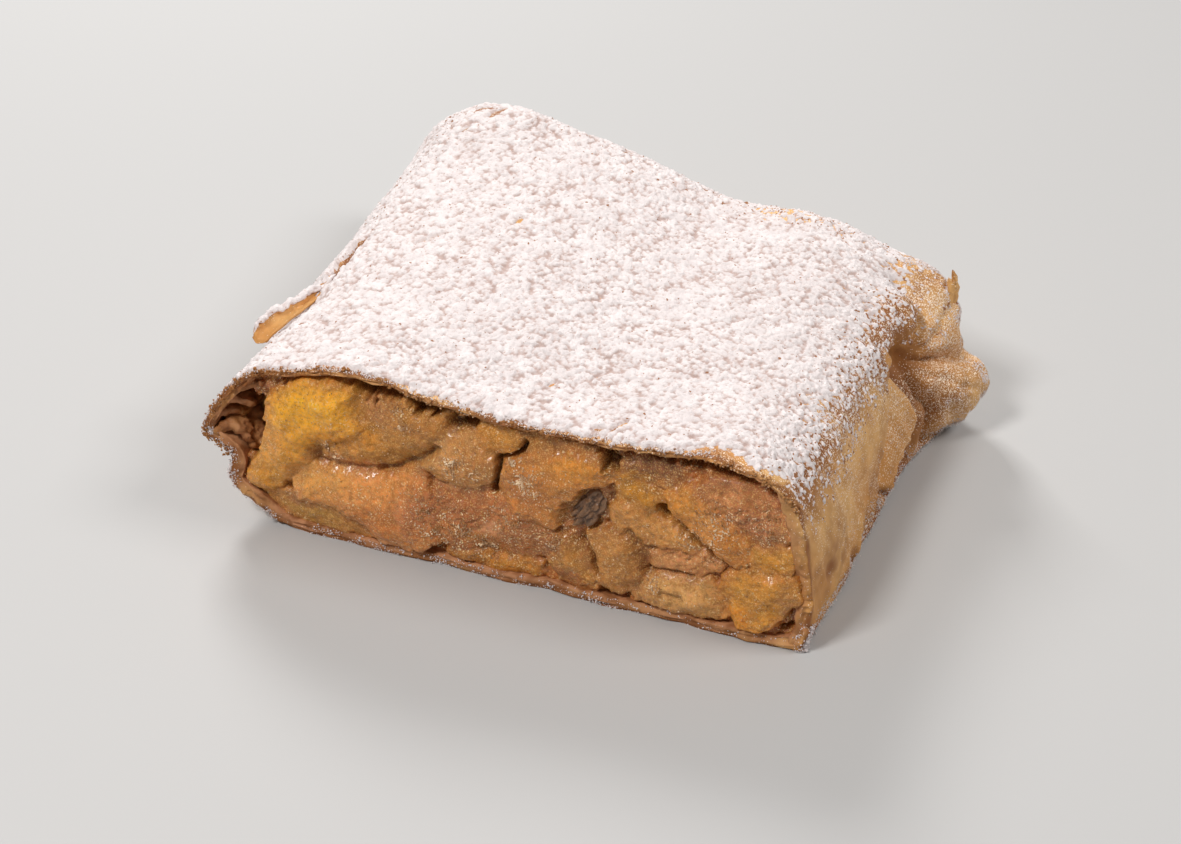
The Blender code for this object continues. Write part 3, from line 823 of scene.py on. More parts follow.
def make_flake(name, base, tip, bow, dusted, thick, seed):
    """A thin curved sheet of dough with a ragged edge, closed all round."""
    along, across = np.meshgrid(np.linspace(0, 1, FLAKE_ALONG), np.linspace(0, 1, FLAKE_ACROSS))
    along, across = along.ravel(), across.ravel()
    ragged = 0.10 * soft_noise(np.column_stack([along * 9, along * 0, along * 0 + seed]), 1.0, seed)
    ragged += 0.07 * soft_noise(np.column_stack([along * 30, along * 0, along * 0]), 1.0, seed + 1)
    reach = across * (0.92 + ragged)
    middle = along_line(base, along) * (1 - reach)[:, None] + along_line(tip, along) * reach[:, None]
    middle += np.array(bow) * np.sin(math.pi * np.clip(reach, 0, 1))[:, None]
    normal = grid_normals(middle, FLAKE_ACROSS, FLAKE_ALONG, False)
    middle += normal * (0.3 * soft_noise(middle, 2.4, seed + 2))[:, None]
    ends = np.minimum(along, 1 - along) * 14
    thin = np.clip(np.minimum(ends, (1.05 - across) * 6), 0.25, 1.0) * thick / 2
    lumpy = 0.35 * soft_noise(middle, 1.3, seed + 4) + 0.3 * soft_noise(middle, 0.55, seed + 5)
    thin = thin * (1 + lumpy)
    middle += normal * (lumpy * thick * 0.35)[:, None]
    middle[:, 1] += 0.5 * (thick > 1) * soft_noise(middle, 0.9, seed + 6)
    points = np.vstack([middle + normal * thin[:, None], middle - normal * thin[:, None]])
    sheet = grid_faces(FLAKE_ACROSS, FLAKE_ALONG, False)
    half = len(middle)
    faces = sheet + [tuple(half + corner for corner in reversed(face)) for face in sheet]
    border = list(range(FLAKE_ALONG))
    border += [row * FLAKE_ALONG + FLAKE_ALONG - 1 for row in range(1, FLAKE_ACROSS)]
    border += [(FLAKE_ACROSS - 1) * FLAKE_ALONG + column for column in range(FLAKE_ALONG - 2, -1, -1)]
    border += [row * FLAKE_ALONG for row in range(FLAKE_ACROSS - 2, 0, -1)]
    for corner, following in zip(border, border[1:] + border[:1]):
        faces.append((following, corner, half + corner, half + following))
    obj = add_mesh(name, points, faces, DOUGH)
    tidy_normals(obj)
    edge = smooth_step(across, 0.72, 1.0)
    brown = 0.12 + 0.3 * edge + 0.3 * soft_noise(middle, 1.6, seed + 3) + 0.6 * (dusted == 0)
    moist = 0.35 + 0.9 * soft_noise(middle, 2.0, seed + 7) if dusted == 0 else np.zeros(half)
    up = np.where(normal[:, 2] > 0, 1.0, 0.0)
    sugar = dusted * (0.35 + 0.65 * edge)
    paint(obj, "bake_and_shade", np.concatenate([brown, brown]))
    paint(obj, "dust", np.concatenate([sugar * up, sugar * (1 - up)]))
    paint(obj, "moist", np.concatenate([moist, moist]))
    as_dough(obj)


for number, (flake, (base_line, tip_line, bow, dusted, thick)) in enumerate(FLAKES.items()):
    make_flake(flake, base_line, tip_line, bow, dusted, thick, 200 + 10 * number)

# The icing sugar. It was sifted on from above when the roll had cooled, so it lies thick and
# lumpy on the top, breaks up into spots over the right and rear shoulders, and ends at the cut.

SUGAR_THICK = 0.5
SHEET_SPACING = 0.25
SUGAR_LEFT_U = 4.3
SUGAR_RIGHT_U = 16.7
SUGAR_END_V = 1.75
SHEETS = (("front", 0.0, 0.3), ("middle", 0.3, 0.61), ("rear", 0.61, 3.0))
CREASES_RUN = (0.86, -0.51)
MEASURED_AT_V = 0.4
TOP_U = 11.5
TEAR_DEPTH = 1.8
EDGE_DROP = 1.1
SUNK_OUT_OF_SIGHT = -0.12
THIN_BELOW = 0.34


def sugar_cover(points, normal):
    """How much sugar lies at each point, from 1 where it is thick to below 0 where there is none."""
    x, y = points[:, 0], points[:, 1]
    drift = sum_noise(points, (2.6, 9.0, 41), (2.2, 3.6, 42))
    right = smooth_step(x + drift, 39.0, 59.0)
    rear = smooth_step(y - end_y(x) + 0.8 * drift, -16.0, 4.0)
    cover = smooth_step(normal[:, 2], 0.05, 0.7) * (1.0 - 0.93 * right)
    cover *= 1.0 - rear * (0.35 + 0.4 * smooth_step(x, -20.0, 20.0))
    cover *= 1.0 - 0.35 * smooth_step(-x + 0.5 * drift, 44.0, 52.0)
    cover *= 1.0 - 0.5 * bell(x, 24.0, 9.0) * bell(y, 84.0, 8.0)
    return cover


def sugar_lumps(points, across, along):
    """The rounded lumps of the sifted sugar: their height about a middle, lowest in the creases."""
    with_creases = across * CREASES_RUN[0] + along * CREASES_RUN[1]
    over_creases = along * CREASES_RUN[0] - across * CREASES_RUN[1]
    wander = 0.3 * soft_noise(points, 1.6, 50)
    large, large_crease = domes(with_creases / 1.3 + wander, over_creases + wander, 1.3, 51)
    small, small_crease = domes(with_creases + wander, over_creases - wander, 0.7, 53)
    lumps = 0.46 * (large - 0.60) - 0.10 * large_crease + 0.36 * (small - 0.60) - 0.06 * small_crease
    return lumps + sum_noise(points, (0.13, 0.4, 57), (0.14, 3.0, 58)), small


def sugar_height(points, cover, lumps, small):
    """The lumpy surface of the sifted sugar above the dough."""
    loose = 1.0 - np.clip(cover, 0.0, 1.0)
    clumps = loose * (0.42 * (small - 0.55) + 0.34 * soft_noise(points, 0.55, 59) - 0.3 * lumps)
    return SUGAR_THICK * (1 - loose) - 0.40 * loose**1.2 + lumps + clumps


def sugar_material():
    material, tree, shader = material_named("icing_sugar", 0.9)
    thin = painted(tree, "thin")
    fine = noise_of(tree, 2600.0, 2.0)
    coarse = noise_of(tree, 330.0, 3.0)
    white = mix_of(tree, ramp_of(tree, coarse, 0.35, 0.65), (0.74, 0.665, 0.65), (0.82, 0.75, 0.735))
    # Painted shade: the sugar is darkened in the creases between its lumps
    crease_shade = ramp_of(tree, plus(tree, painted(tree, "crease_shade"), times(tree, fine, 0.3)), 0.3, 1.1)
    crease_shaded = mix_of(tree, crease_shade, white, (0.52, 0.385, 0.345))
    # Where the sugar is thin or low it turns pinker: partly dough showing through and partly painted
    # shade
    spots = plus(tree, thin, times(tree, fine, 0.12))
    shade = mix_of(tree, ramp_of(tree, spots, 0.74, 1.0), crease_shaded, (0.62, 0.42, 0.33))
    crumbs = mix_of(tree, ramp_of(tree, spots, 0.92, 1.06), shade, (0.50, 0.22, 0.075))
    open_to = plus(tree, noise_of(tree, 1250.0, 1.0), times(tree, painted(tree, "sparse"), 0.2))
    pinholes = ramp_of(tree, open_to, 0.735, 0.765)
    tree.links.new(mix_of(tree, pinholes, crumbs, (0.33, 0.15, 0.07)), shader.inputs["Base Color"])
    bump_of(tree, shader, fine, 0.30, 0.9)
    shader.inputs["Specular IOR Level"].default_value = 0.15
    return material


def even_steps(places, values, spacing):
    """The values at even steps along the line of places."""
    run = np.concatenate([[0], np.cumsum(np.linalg.norm(np.diff(places, axis=0), axis=1))])
    steps = np.linspace(0, run[-1], int(run[-1] / spacing))
    return np.interp(steps, run, values), steps


def used_points(faces, count):
    """Which of the grid's points the faces use, and the faces counted over those alone."""
    used = np.unique(faces)
    place = np.full(count, -1)
    place[used] = np.arange(len(used))
    return used, place[faces].tolist()


def part_of_grid(name, points, faces, material, values):
    """A piece made of some faces of a grid, with the painted values of its points."""
    used, own_faces = used_points(faces, len(points))
    obj = add_mesh(name, points[used], own_faces, material)
    for value_name, value in values.items():
        paint(obj, value_name, value[used])
    as_dough(obj)


def make_sugar(material):
    columns = np.arange(SUGAR_LEFT_U, SUGAR_RIGHT_U, 0.02)
    across_roll = wall_point(columns, np.full(len(columns), MEASURED_AT_V))
    u_row, across = even_steps(across_roll, columns, SHEET_SPACING)
    rows = np.arange(0.0, SUGAR_END_V, 0.01)
    v_row, along = even_steps(roll_point(np.full(len(rows), TOP_U), rows), rows, SHEET_SPACING)
    u, v = (grid.ravel() for grid in np.meshgrid(u_row, v_row))
    across, along = (grid.ravel() for grid in np.meshgrid(across, along))
    surface, normal = dough_surface(u, v, len(v_row), len(u_row), False)
    move_to_rim(surface, v)
    lumps, small = sugar_lumps(surface, across, along)
    cover = sugar_cover(surface, normal)
    retreat = 0.55 + sum_noise(surface, (0.45, 1.1, 65), (0.4, 4.0, 66))
    retreat += 3.0 * bell(surface[:, 0], 39.5, 4.5) + 1.0 * smooth_step(surface[:, 0], 44.0, 50.0)
    edge = 1.0 - smooth_step(along, 0.0, np.maximum(retreat, 0.15) * 2.0)
    height = sugar_height(surface, cover, lumps, small) - TEAR_DEPTH * torn(surface) - EDGE_DROP * edge
    points = surface + normal * height[:, None]
    faces = np.array(grid_faces(len(v_row), len(u_row), False))
    faces = faces[(height[faces] > SUNK_OUT_OF_SIGHT).any(axis=1)]
    values = {
        # The thin value marks low sugar: partly dough showing through and partly painted shade
        "thin": 1.0 - np.clip(height / THIN_BELOW, 0.0, 1.0),
        # The crease value is painted shade in the creases between the lumps
        "crease_shade": 0.5 - 2.0 * lumps,
        "sparse": 1.0 - np.clip(cover, 0.0, 1.0),
    }
    for name, first, last in SHEETS:
        here = (v[faces[:, 0]] >= first) & (v[faces[:, 0]] < last)
        part_of_grid("icing_sugar_" + name, points, faces[here], material, values)


ICING = sugar_material()
make_sugar(ICING)


def make_sugar_roll(name, line, radius, seed, material):
    """A lumpy roll of sugar that settled along an edge."""
    share = np.linspace(0, 1, ROLL_STATIONS)
    middle = along_line(line, share)
    middle += 0.25 * np.column_stack([soft_noise(middle, 1.4, seed + turn) for turn in range(3)])
    ahead = unit(np.gradient(middle, axis=0))
    across = unit(np.cross(ahead, (0.0, 0.0, 1.0)))
    over = np.cross(across, ahead)
    angle = np.linspace(0, math.tau, ROLL_AROUND, endpoint=False)
    width = radius * (1 - 0.85 * np.abs(2 * share - 1) ** 4)
    width *= 1 + 0.35 * soft_noise(middle, 1.8, seed + 5)
    ring = (np.cos(angle)[None, :, None] * across[:, None, :]
            + 0.7 * np.sin(angle)[None, :, None] * over[:, None, :])
    points = (middle[:, None, :] + ring * width[:, None, None]).reshape(-1, 3)
    lumpy = 0.36 * soft_noise(points, 0.9, seed + 3) + 0.26 * soft_noise(points, 0.45, seed + 4)
    fading = np.repeat(np.minimum(width / radius, 1), ROLL_AROUND)
    points += ring.reshape(-1, 3) * (lumpy * fading)[:, None]
    obj = add_mesh(name, points, tube_faces(ROLL_STATIONS, ROLL_AROUND), material)
    tidy_normals(obj)
    # The roll's dips are pinker: partly thin sugar and partly painted shade
    paint(obj, "thin", 0.3 - 0.9 * lumpy)
    # Painted shade: the roll's dips are darker, as in the creases of the sheet
    paint(obj, "crease_shade", 0.3 - 1.2 * lumpy)
    as_dough(obj)


# The sugar along the rim of the curled flake, and how thick it is there
CURL_RIM = ((-53.7, 17.2, 27.2), (-53.4, 18.7, 28.8), (-52.6, 22.6, 29.0), (-51.1, 27.0, 29.0),
            (-49.6, 31.3, 29.0), (-48.2, 35.6, 29.0), (-47.4, 38.0, 29.4))
CURL_SUGAR = 0.65
ROLL_STATIONS = 130
ROLL_AROUND = 18

make_sugar_roll("icing_sugar_curl", CURL_RIM, CURL_SUGAR, 400, ICING)

# The loose grains. Sugar fell past the shoulders and lodged on the right wall, along the torn
# rim, round the foot and on the flakes; crumbs of crust broke off the rim when it was cut.


def scatter_tree(shape, material):
    """Copies of one small shape on given points, turned at random and sized by the point."""
    tree = bpy.data.node_groups.new("scatter_" + shape.name, "GeometryNodeTree")
    tree.interface.new_socket("Points", in_out="INPUT", socket_type="NodeSocketGeometry")
    seed = tree.interface.new_socket("Seed", in_out="INPUT", socket_type="NodeSocketInt")
    tree.interface.new_socket("Copies", in_out="OUTPUT", socket_type="NodeSocketGeometry")
    start, finish = tree.nodes.new("NodeGroupInput"), tree.nodes.new("NodeGroupOutput")
    source = node_of(tree, "GeometryNodeObjectInfo")
    source.inputs["Object"].default_value = shape
    turn = node_of(tree, "FunctionNodeRandomValue", data_type="FLOAT_VECTOR")
    turn.inputs["Max"].default_value = (math.tau, math.tau, math.tau)
    size = node_of(tree, "GeometryNodeInputNamedAttribute", data_type="FLOAT_VECTOR")
    size.inputs["Name"].default_value = "size"
    place = node_of(tree, "GeometryNodeInstanceOnPoints")
    real = node_of(tree, "GeometryNodeRealizeInstances")
    finished = node_of(tree, "GeometryNodeSetMaterial")
    finished.inputs["Material"].default_value = material
    tree.links.new(start.outputs["Points"], place.inputs["Points"])
    tree.links.new(source.outputs["Geometry"], place.inputs["Instance"])
    tree.links.new(start.outputs["Seed"], turn.inputs["Seed"])
    tree.links.new(turn.outputs["Value"], place.inputs["Rotation"])
    tree.links.new(size.outputs["Attribute"], place.inputs["Scale"])
    tree.links.new(place.outputs["Instances"], real.inputs["Geometry"])
    tree.links.new(real.outputs["Geometry"], finished.inputs["Geometry"])
    tree.links.new(finished.outputs["Geometry"], finish.inputs["Copies"])
    return tree, seed.identifier


def scatter(name, points, sizes, shape, material, seed):
    """A piece made of copies of the shape, one on each point, about as large as its size."""
    mesh = bpy.data.meshes.new(name + "_points")
    mesh.from_pydata(((points + ROLL_TO_ROW) * MM).tolist(), [], [])
    layer = mesh.attributes.new("size", "FLOAT_VECTOR", "POINT")
    random = np.random.default_rng(seed)
    stretch = random.uniform(0.7, 1.25, (len(points), 3)) * np.asarray(sizes)[:, None] * MM
    layer.data.foreach_set("vector", stretch.astype(np.float32).ravel())
    source = new_object(name + "_points", mesh)
    tree, seed_input = scatter_tree(shape, material)
    modifier = source.modifiers.new("scatter", "NODES")
    modifier.node_group = tree
    modifier[seed_input] = seed
    graph = bpy.context.evaluated_depsgraph_get()
    copies = bpy.data.meshes.new_from_object(source.evaluated_get(graph), depsgraph=graph)
    bpy.data.objects.remove(source)
    copies.name = name
    return new_object(name, copies)


def small_shape(name, subdivisions, roughness, seed, few_sides=False):
    """A small uneven crumb of radius 1, kept out of the scene."""
    shape = bmesh.new()
    if few_sides:
        bmesh.ops.create_uvsphere(shape, u_segments=4, v_segments=2, radius=1.0)
    else:
        bmesh.ops.create_icosphere(shape, subdivisions=subdivisions, radius=1.0)
    random = np.random.default_rng(seed)
    for corner in shape.verts:
        corner.co *= 1.0 + random.uniform(-roughness, roughness)
    mesh = bpy.data.meshes.new(name)
    shape.to_mesh(mesh)
    shape.free()
    return bpy.data.objects.new(name, mesh)


GRAINS_ON_WALL = 6500
GRAINS_ON_LOBE = 5600
CRUMBS = 1900

# Where grains lodged along the cut edge and the foot: from and to, counted round the section,
# how many, how far back they reach, how far they strayed, and how far in on the torn edge they lie
EDGE_GRAINS = {
    "top_rim": (4.4, 13.8, 1900, 0.006, 0.16, 0.0),
    "left_tip": (0.5, 4.6, 2200, 0.005, 0.22, -1.7),
    "lower_right_rim": (18.5, 20.8, 1500, 0.008, 0.2, -1.7),
    "lower_rim": (20.8, 22.9, 1300, 0.001, 0.2, -1.7),
    "right_foot": (18.7, 19.7, 1500, 0.6, 0.15, -1.7),
    "left_foot": (0.3, 2.2, 500, 0.5, 0.15, -1.7),
}
LONG_REACH = 0.1
ON_TORN_EDGE = 0.004
JUST_ABOVE = 0.15
GRAIN_SIZE = 0.078
LOBE_GRAINS_LARGER = 1.35
EDGE_GRAINS_LARGER = 1.25
CRUMB_SIZE = 0.12


def dough_places(u, v, lift):
    """Places on the dough's surface, found one by one, this far above it."""
    step = 0.01
    centre = roll_point(u, v)
    around = roll_point(u + step, v) - roll_point(u - step, v)
    along = roll_point(u, v + step / 4) - roll_point(u, v - step / 4)
    normal = unit(np.cross(around, along))
    centre += normal * (dough_wrinkles(centre) + lift)[:, None]
    move_to_rim(centre, v)
    return centre, normal


def most_wanted(places, wanted, count, random):
    """A random choice of this many places, likelier where they are more wanted."""
    order = np.argsort(random.uniform(0, 1, len(places)) / np.maximum(wanted, 1e-3))
    return places[order[:count]]


def wall_grains(random):
    """Places on the right wall where grains lodged, and the ones on its swollen rear corner."""
    tried = 6 * GRAINS_ON_WALL
    wall, normal = dough_places(random.uniform(13.6, 19.2, tried), random.uniform(0.01, 1.6, tried), 0.03)
    clumped = smooth_step(soft_noise(wall, 2.2, 502), -0.5, 0.8)
    wanted = 0.12 + 0.9 * smooth_step(normal[:, 2], -0.1, 0.8)
    wanted *= clumped * (0.15 + 0.85 * smooth_step(wall[:, 1], 2.0, 22.0))
    behind = across_line(wall[:, 1], wall[:, 2], PLEAT_EDGE)
    wanted *= 1 - 0.9 * smooth_step(behind, -0.3, 0.3) * fade_out(behind, 2.0, 4.5)
    on_wall = most_wanted(wall, wanted, GRAINS_ON_WALL, random)
    on_ridge = smooth_step(wall_folds(wall) + 0.5 * soft_noise(wall, 1.6, 504), -0.4, 1.0)
    wanted = smooth_step(wall[:, 1], 60.0, 68.0) * clumped * (0.1 + on_ridge)
    return on_wall, most_wanted(wall, wanted, GRAINS_ON_LOBE, random)


def edge_grains(random):
    """Places along the cut edge and the foot where grains lodged."""
    on_edge = []
    for first, last, count, reach, strayed, deepest in EDGE_GRAINS.values():
        if reach < LONG_REACH:
            run_back = random.exponential(reach, count)
        else:
            run_back = random.uniform(0, 2 * reach, count)
        lift = np.where(run_back < ON_TORN_EDGE, random.uniform(deepest, JUST_ABOVE, count), JUST_ABOVE)
        places, _ = dough_places(random.uniform(first, last, count), run_back, lift)
        on_edge.append(places + random.normal(0, strayed, places.shape))
    return on_edge


def make_grains(material):
    random = np.random.default_rng(501)
    on_wall, on_lobe = wall_grains(random)
    places = np.vstack([on_wall, on_lobe] + edge_grains(random))
    places[:, 2] = np.maximum(places[:, 2], 0.1)
    sizes = random.lognormal(math.log(GRAIN_SIZE), 0.3, len(places))
    sizes[len(on_wall):] *= LOBE_GRAINS_LARGER
    sizes[len(on_wall) + len(on_lobe):] *= EDGE_GRAINS_LARGER
    obj = scatter("sugar_grains", places, np.clip(sizes, 0.05, 0.25),
                  small_shape("grain", 1, 0.2, 11, True), material, 503)
    as_dough(obj)


def make_crumbs():
    random = np.random.default_rng(511)
    u = random.uniform(3.2, 16.0, CRUMBS)
    v = np.clip(random.exponential(0.004, CRUMBS), 0, 1)
    places, _ = dough_places(u, v, 0.0)
    places += random.normal(0, 0.3, places.shape) - (0.0, 0.1, 0.3)
    sizes = np.clip(random.lognormal(math.log(CRUMB_SIZE), 0.5, CRUMBS), 0.06, 0.45)
    obj = scatter("crust_crumbs", places, sizes, small_shape("crumb", 2, 0.4, 13), DOUGH, 513)
    for name, value in (("bake_and_shade", 0.55), ("dust", 0.2), ("moist", 0.0)):
        paint(obj, name, np.full(len(obj.data.vertices), value))
    as_dough(obj)


make_grains(ICING)
make_crumbs()

# The cooked apple at the cut. Wedges and slices of soft apple lie packed in a brown cinnamon
# syrup. The knife cut through them, so the face is nearly flat, with a crack or a soft furrow
# between two pieces, granular flesh, and a few hollows left under the dough.


def from_screen(red, green, blue):
    """A colour named by its screen values, as the light values that a material takes."""
    values = np.array((red, green, blue)) / 255
    return tuple(float(value) for value in np.where(
        values < 0.04045, values / 12.92, ((values + 0.055) / 1.055) ** 2.4
    ))


FACE_SPACING = 0.22
FACE_INSET = 1.5
MUSH_Y = 1.5
PIECE_GROWS = 1.5
EDGE_ROUND = 1.2
MELTS_TOGETHER = 2.0
FACE_DEPTH = 9.0
WARMTH = (1.03, 0.87, 0.67)
SYRUP_BROWN = from_screen(156, 98, 54)
IN_THE_CRACKS = from_screen(70, 36, 20)
DARK_BELOW = 2.5
SOCKET_AT = (17.3, 19.2)
SOCKET_RUNS = (0.68, 0.73)
SOCKET_HALF = (6.4, 3.3)
SOCKET_DEPTH = 0.9

# Each piece of apple: how far it stands from the cut plane, how much it leans forward to the
# right and upwards, its colour in the middle, its colour at the rim, how wet it is, and its
# outline as (x, z)
APPLE_PIECES = {
    "yellow_chunk": (-0.8, -0.03, 0.03, (226, 166, 52), (190, 134, 66), 0.3,
                     ((-45.5, 9), (-40.5, 27.5), (-33.5, 32), (-25.5, 32.2), (-24.5, 28),
                      (-21.5, 26), (-33, 20), (-34.5, 16), (-43, 8))),
    "tan_slab": (0.4, 0.02, 0.02, (178, 128, 68), (146, 104, 52), 0.2,
                 ((-32.4, 17.6), (-22.6, 24.8), (-25, 30.8), (-14.5, 32), (-6.5, 31.6),
                  (-5.5, 30), (-10.5, 24.5), (-17, 19), (-22, 17))),
    "long_slice": (-0.4, 0.0, -0.08, (208, 142, 78), (184, 122, 76), 0.5,
                   ((-37, 7.5), (-37, 12.5), (-29, 15.5), (-24, 15.5), (-14.5, 19),
                    (-12, 14), (-11.5, 5), (-14, 3), (-22, 3.5))),
    "low_slice": (0.7, 0.0, 0.0, (176, 132, 68), (164, 112, 74), 0.3,
                  ((-43.5, 7.2), (-30, 6.4), (-24.5, 4.4), (-24, 2.6), (-30, 2.4),
                   (-36, 2.6), (-41, 4.4))),
    "upper_nugget": (0.3, 0.0, 0.02, (196, 142, 62), (164, 112, 62), 0.3,
                     ((-2, 26), (-2.5, 31.5), (3.5, 31.4), (6, 30.8), (6.5, 28.5), (2, 25.4))),
    "nugget": (-0.3, 0.03, 0.0, (188, 134, 76), (196, 152, 106), 0.6,
               ((2, 26), (1, 21), (-2, 19), (-6, 18), (-12, 20), (-9.5, 27), (-6.5, 29))),
    "big_slice": (-0.5, 0.02, 0.01, (192, 130, 66), (172, 112, 62), 0.5,
                  ((22, 28), (12.4, 17), (10, 14.5), (3, 12), (1, 17), (2, 25.5), (15, 30.6))),
    "top_sliver": (0.7, 0.0, 0.0, (176, 124, 66), (150, 104, 60), 0.3,
                   ((17.5, 31.3), (15, 29.5), (6.5, 28.8), (6.5, 31.2))),
    "wedge": (0.4, 0.0, 0.0, (192, 138, 44), (164, 112, 48), 0.5,
              ((22.5, 27), (25.5, 28), (30, 24.5), (29.5, 22), (28, 21), (23, 22.5))),
    "middle_slice": (0.3, 0.04, 0.0, (204, 150, 88), (178, 124, 70), 0.5,
                     ((21.5, 20), (24.5, 23), (35.5, 17.5), (35, 15.5), (28, 15.5), (24, 17))),
    "right_oval": (0.0, -0.08, 0.03, (184, 132, 74), (150, 102, 62), 0.4,
                   ((18, 13.5), (22, 15.5), (26.5, 13.5), (27.5, 9), (26.5, 5.5), (23, 4.2),
                    (19.5, 6), (18, 9.5))),
    "left_oval": (0.4, 0.0, 0.0, (182, 130, 66), (152, 104, 60), 0.5,
                  ((10, 7.5), (13.5, 10.5), (17, 8.5), (19, 5), (17, 2.6), (14, 2.6))),
    "thin_slice": (0.3, 0.0, 0.0, (192, 134, 52), (160, 106, 54), 0.5,
                   ((-8, 3), (-2.5, 5.5), (3, 5.5), (7.5, 4), (7, 2.6), (-4.5, 2.6))),
    "pale_ring": (0.1, 0.0, -0.05, (202, 156, 100), (178, 128, 80), 0.4,
                  ((42, 6.5), (41, 4), (36.5, 2.7), (26.5, 4), (28.5, 6.5), (32.5, 9),
                   (38.5, 9.5))),
    "pale_fold": (0.7, 0.0, 0.0, (196, 142, 98), (172, 116, 80), 0.4,
                  ((40, 13), (34, 10.6), (28.5, 9.5), (28.5, 11.5), (32.5, 13.5),
                   (37.5, 14.5))),
    "diagonal_slice": (-0.4, 0.0, 0.0, (206, 142, 66), (180, 118, 58), 0.4,
                       ((31.5, 25), (35, 27.5), (38, 26.5), (45.5, 20), (45.5, 17),
                        (43, 15), (40, 17), (32, 23))),
    "right_mush": (0.2, 0.0, 0.0, (178, 122, 82), (160, 104, 74), 0.5,
                   ((36.5, 27.8), (39, 30), (44, 30.2), (48.5, 28.8), (51.6, 26), (52.6, 23),
                    (48, 20), (41, 24.8))),
    "right_knob": (0.1, 0.0, 0.0, (200, 148, 66), (176, 122, 70), 0.4,
                   ((46, 17.5), (49, 20), (52.6, 19.5), (53.4, 18), (51.6, 15.5), (48, 15))),
    "right_chunk": (-0.5, 0.0, 0.0, (198, 144, 58), (188, 126, 58), 0.4,
                    ((44.5, 3), (42, 6), (42.5, 11.5), (46, 14), (53, 14), (53.6, 10.5),
                     (49, 4.5))),
    "crumb": (1.0, 0.0, 0.0, (134, 90, 64), (108, 70, 52), 0.3,
              ((24.5, 30.2), (30, 30.6), (32, 29.6), (31.5, 27.5), (24.5, 28.6))),
    "syrup": (0.8, 0.0, 0.0, (168, 106, 62), (146, 88, 56), 0.9,
              ((12.5, 10.5), (5, 6), (-4.5, 4.5), (-9.5, 5.5), (-9.5, 16), (1.5, 18.5))),
}

# Cracks and furrows, as depth, half width and the line through (x, z)
CRACKS = (
    (3.2, 0.42, ((6.4, 29.8), (5.7, 28.0), (1.5, 25.7), (1.5, 23.5), (0.7, 20.8), (0.3, 18.0))),
    (1.2, 0.7, ((-9.8, 24.5), (-12.6, 21.6), (-16.7, 18.8), (-21.4, 16.5))),
    (0.9, 0.9, ((-21.4, 16.5), (-27.8, 15.7), (-32.5, 16.1), (-32.7, 19.5))),
    (3.0, 1.3, ((-7.0, 29.9), (-4.9, 30.9), (-3.4, 32.2))),
    (3.5, 0.8, ((30.0, 22.6), (31.2, 21.4))),
    (1.7, 0.7, ((31.2, 21.4), (32.9, 20.0), (36.7, 17.5), (39.9, 14.8))),
    (1.6, 0.55, ((16.5, 11.5), (18.5, 8.8), (19.2, 6.3))),
    (1.1, 0.9, ((24.6, 16.0), (27.0, 13.4), (28.2, 8.7))),
    (0.9, 0.4, ((27.2, 8.9), (30.3, 9.7), (34.7, 10.2), (36.8, 9.5))),
    (0.8, 0.7, ((31.0, 5.6), (34.2, 5.7))),
    (2.6, 0.5, ((51.5, 3.4), (54.2, 4.4))),
)

# Hollows under the dough, as centre (x, z), half width, half height and depth
HOLLOWS = (
    (-48.0, 20.0, 6.2, 7.0, 9.0),
    (-20.5, 34.2, 6.0, 3.4, 8.0),
    (-12.0, 34.0, 5.5, 2.3, 5.0),
    (-4.4, 32.2, 2.6, 2.4, 7.0),
    (21.8, 29.6, 2.0, 2.6, 4.0),
    (31.0, 33.6, 8.0, 1.7, 6.0),
    (44.0, 33.0, 7.0, 1.5, 4.0),
)

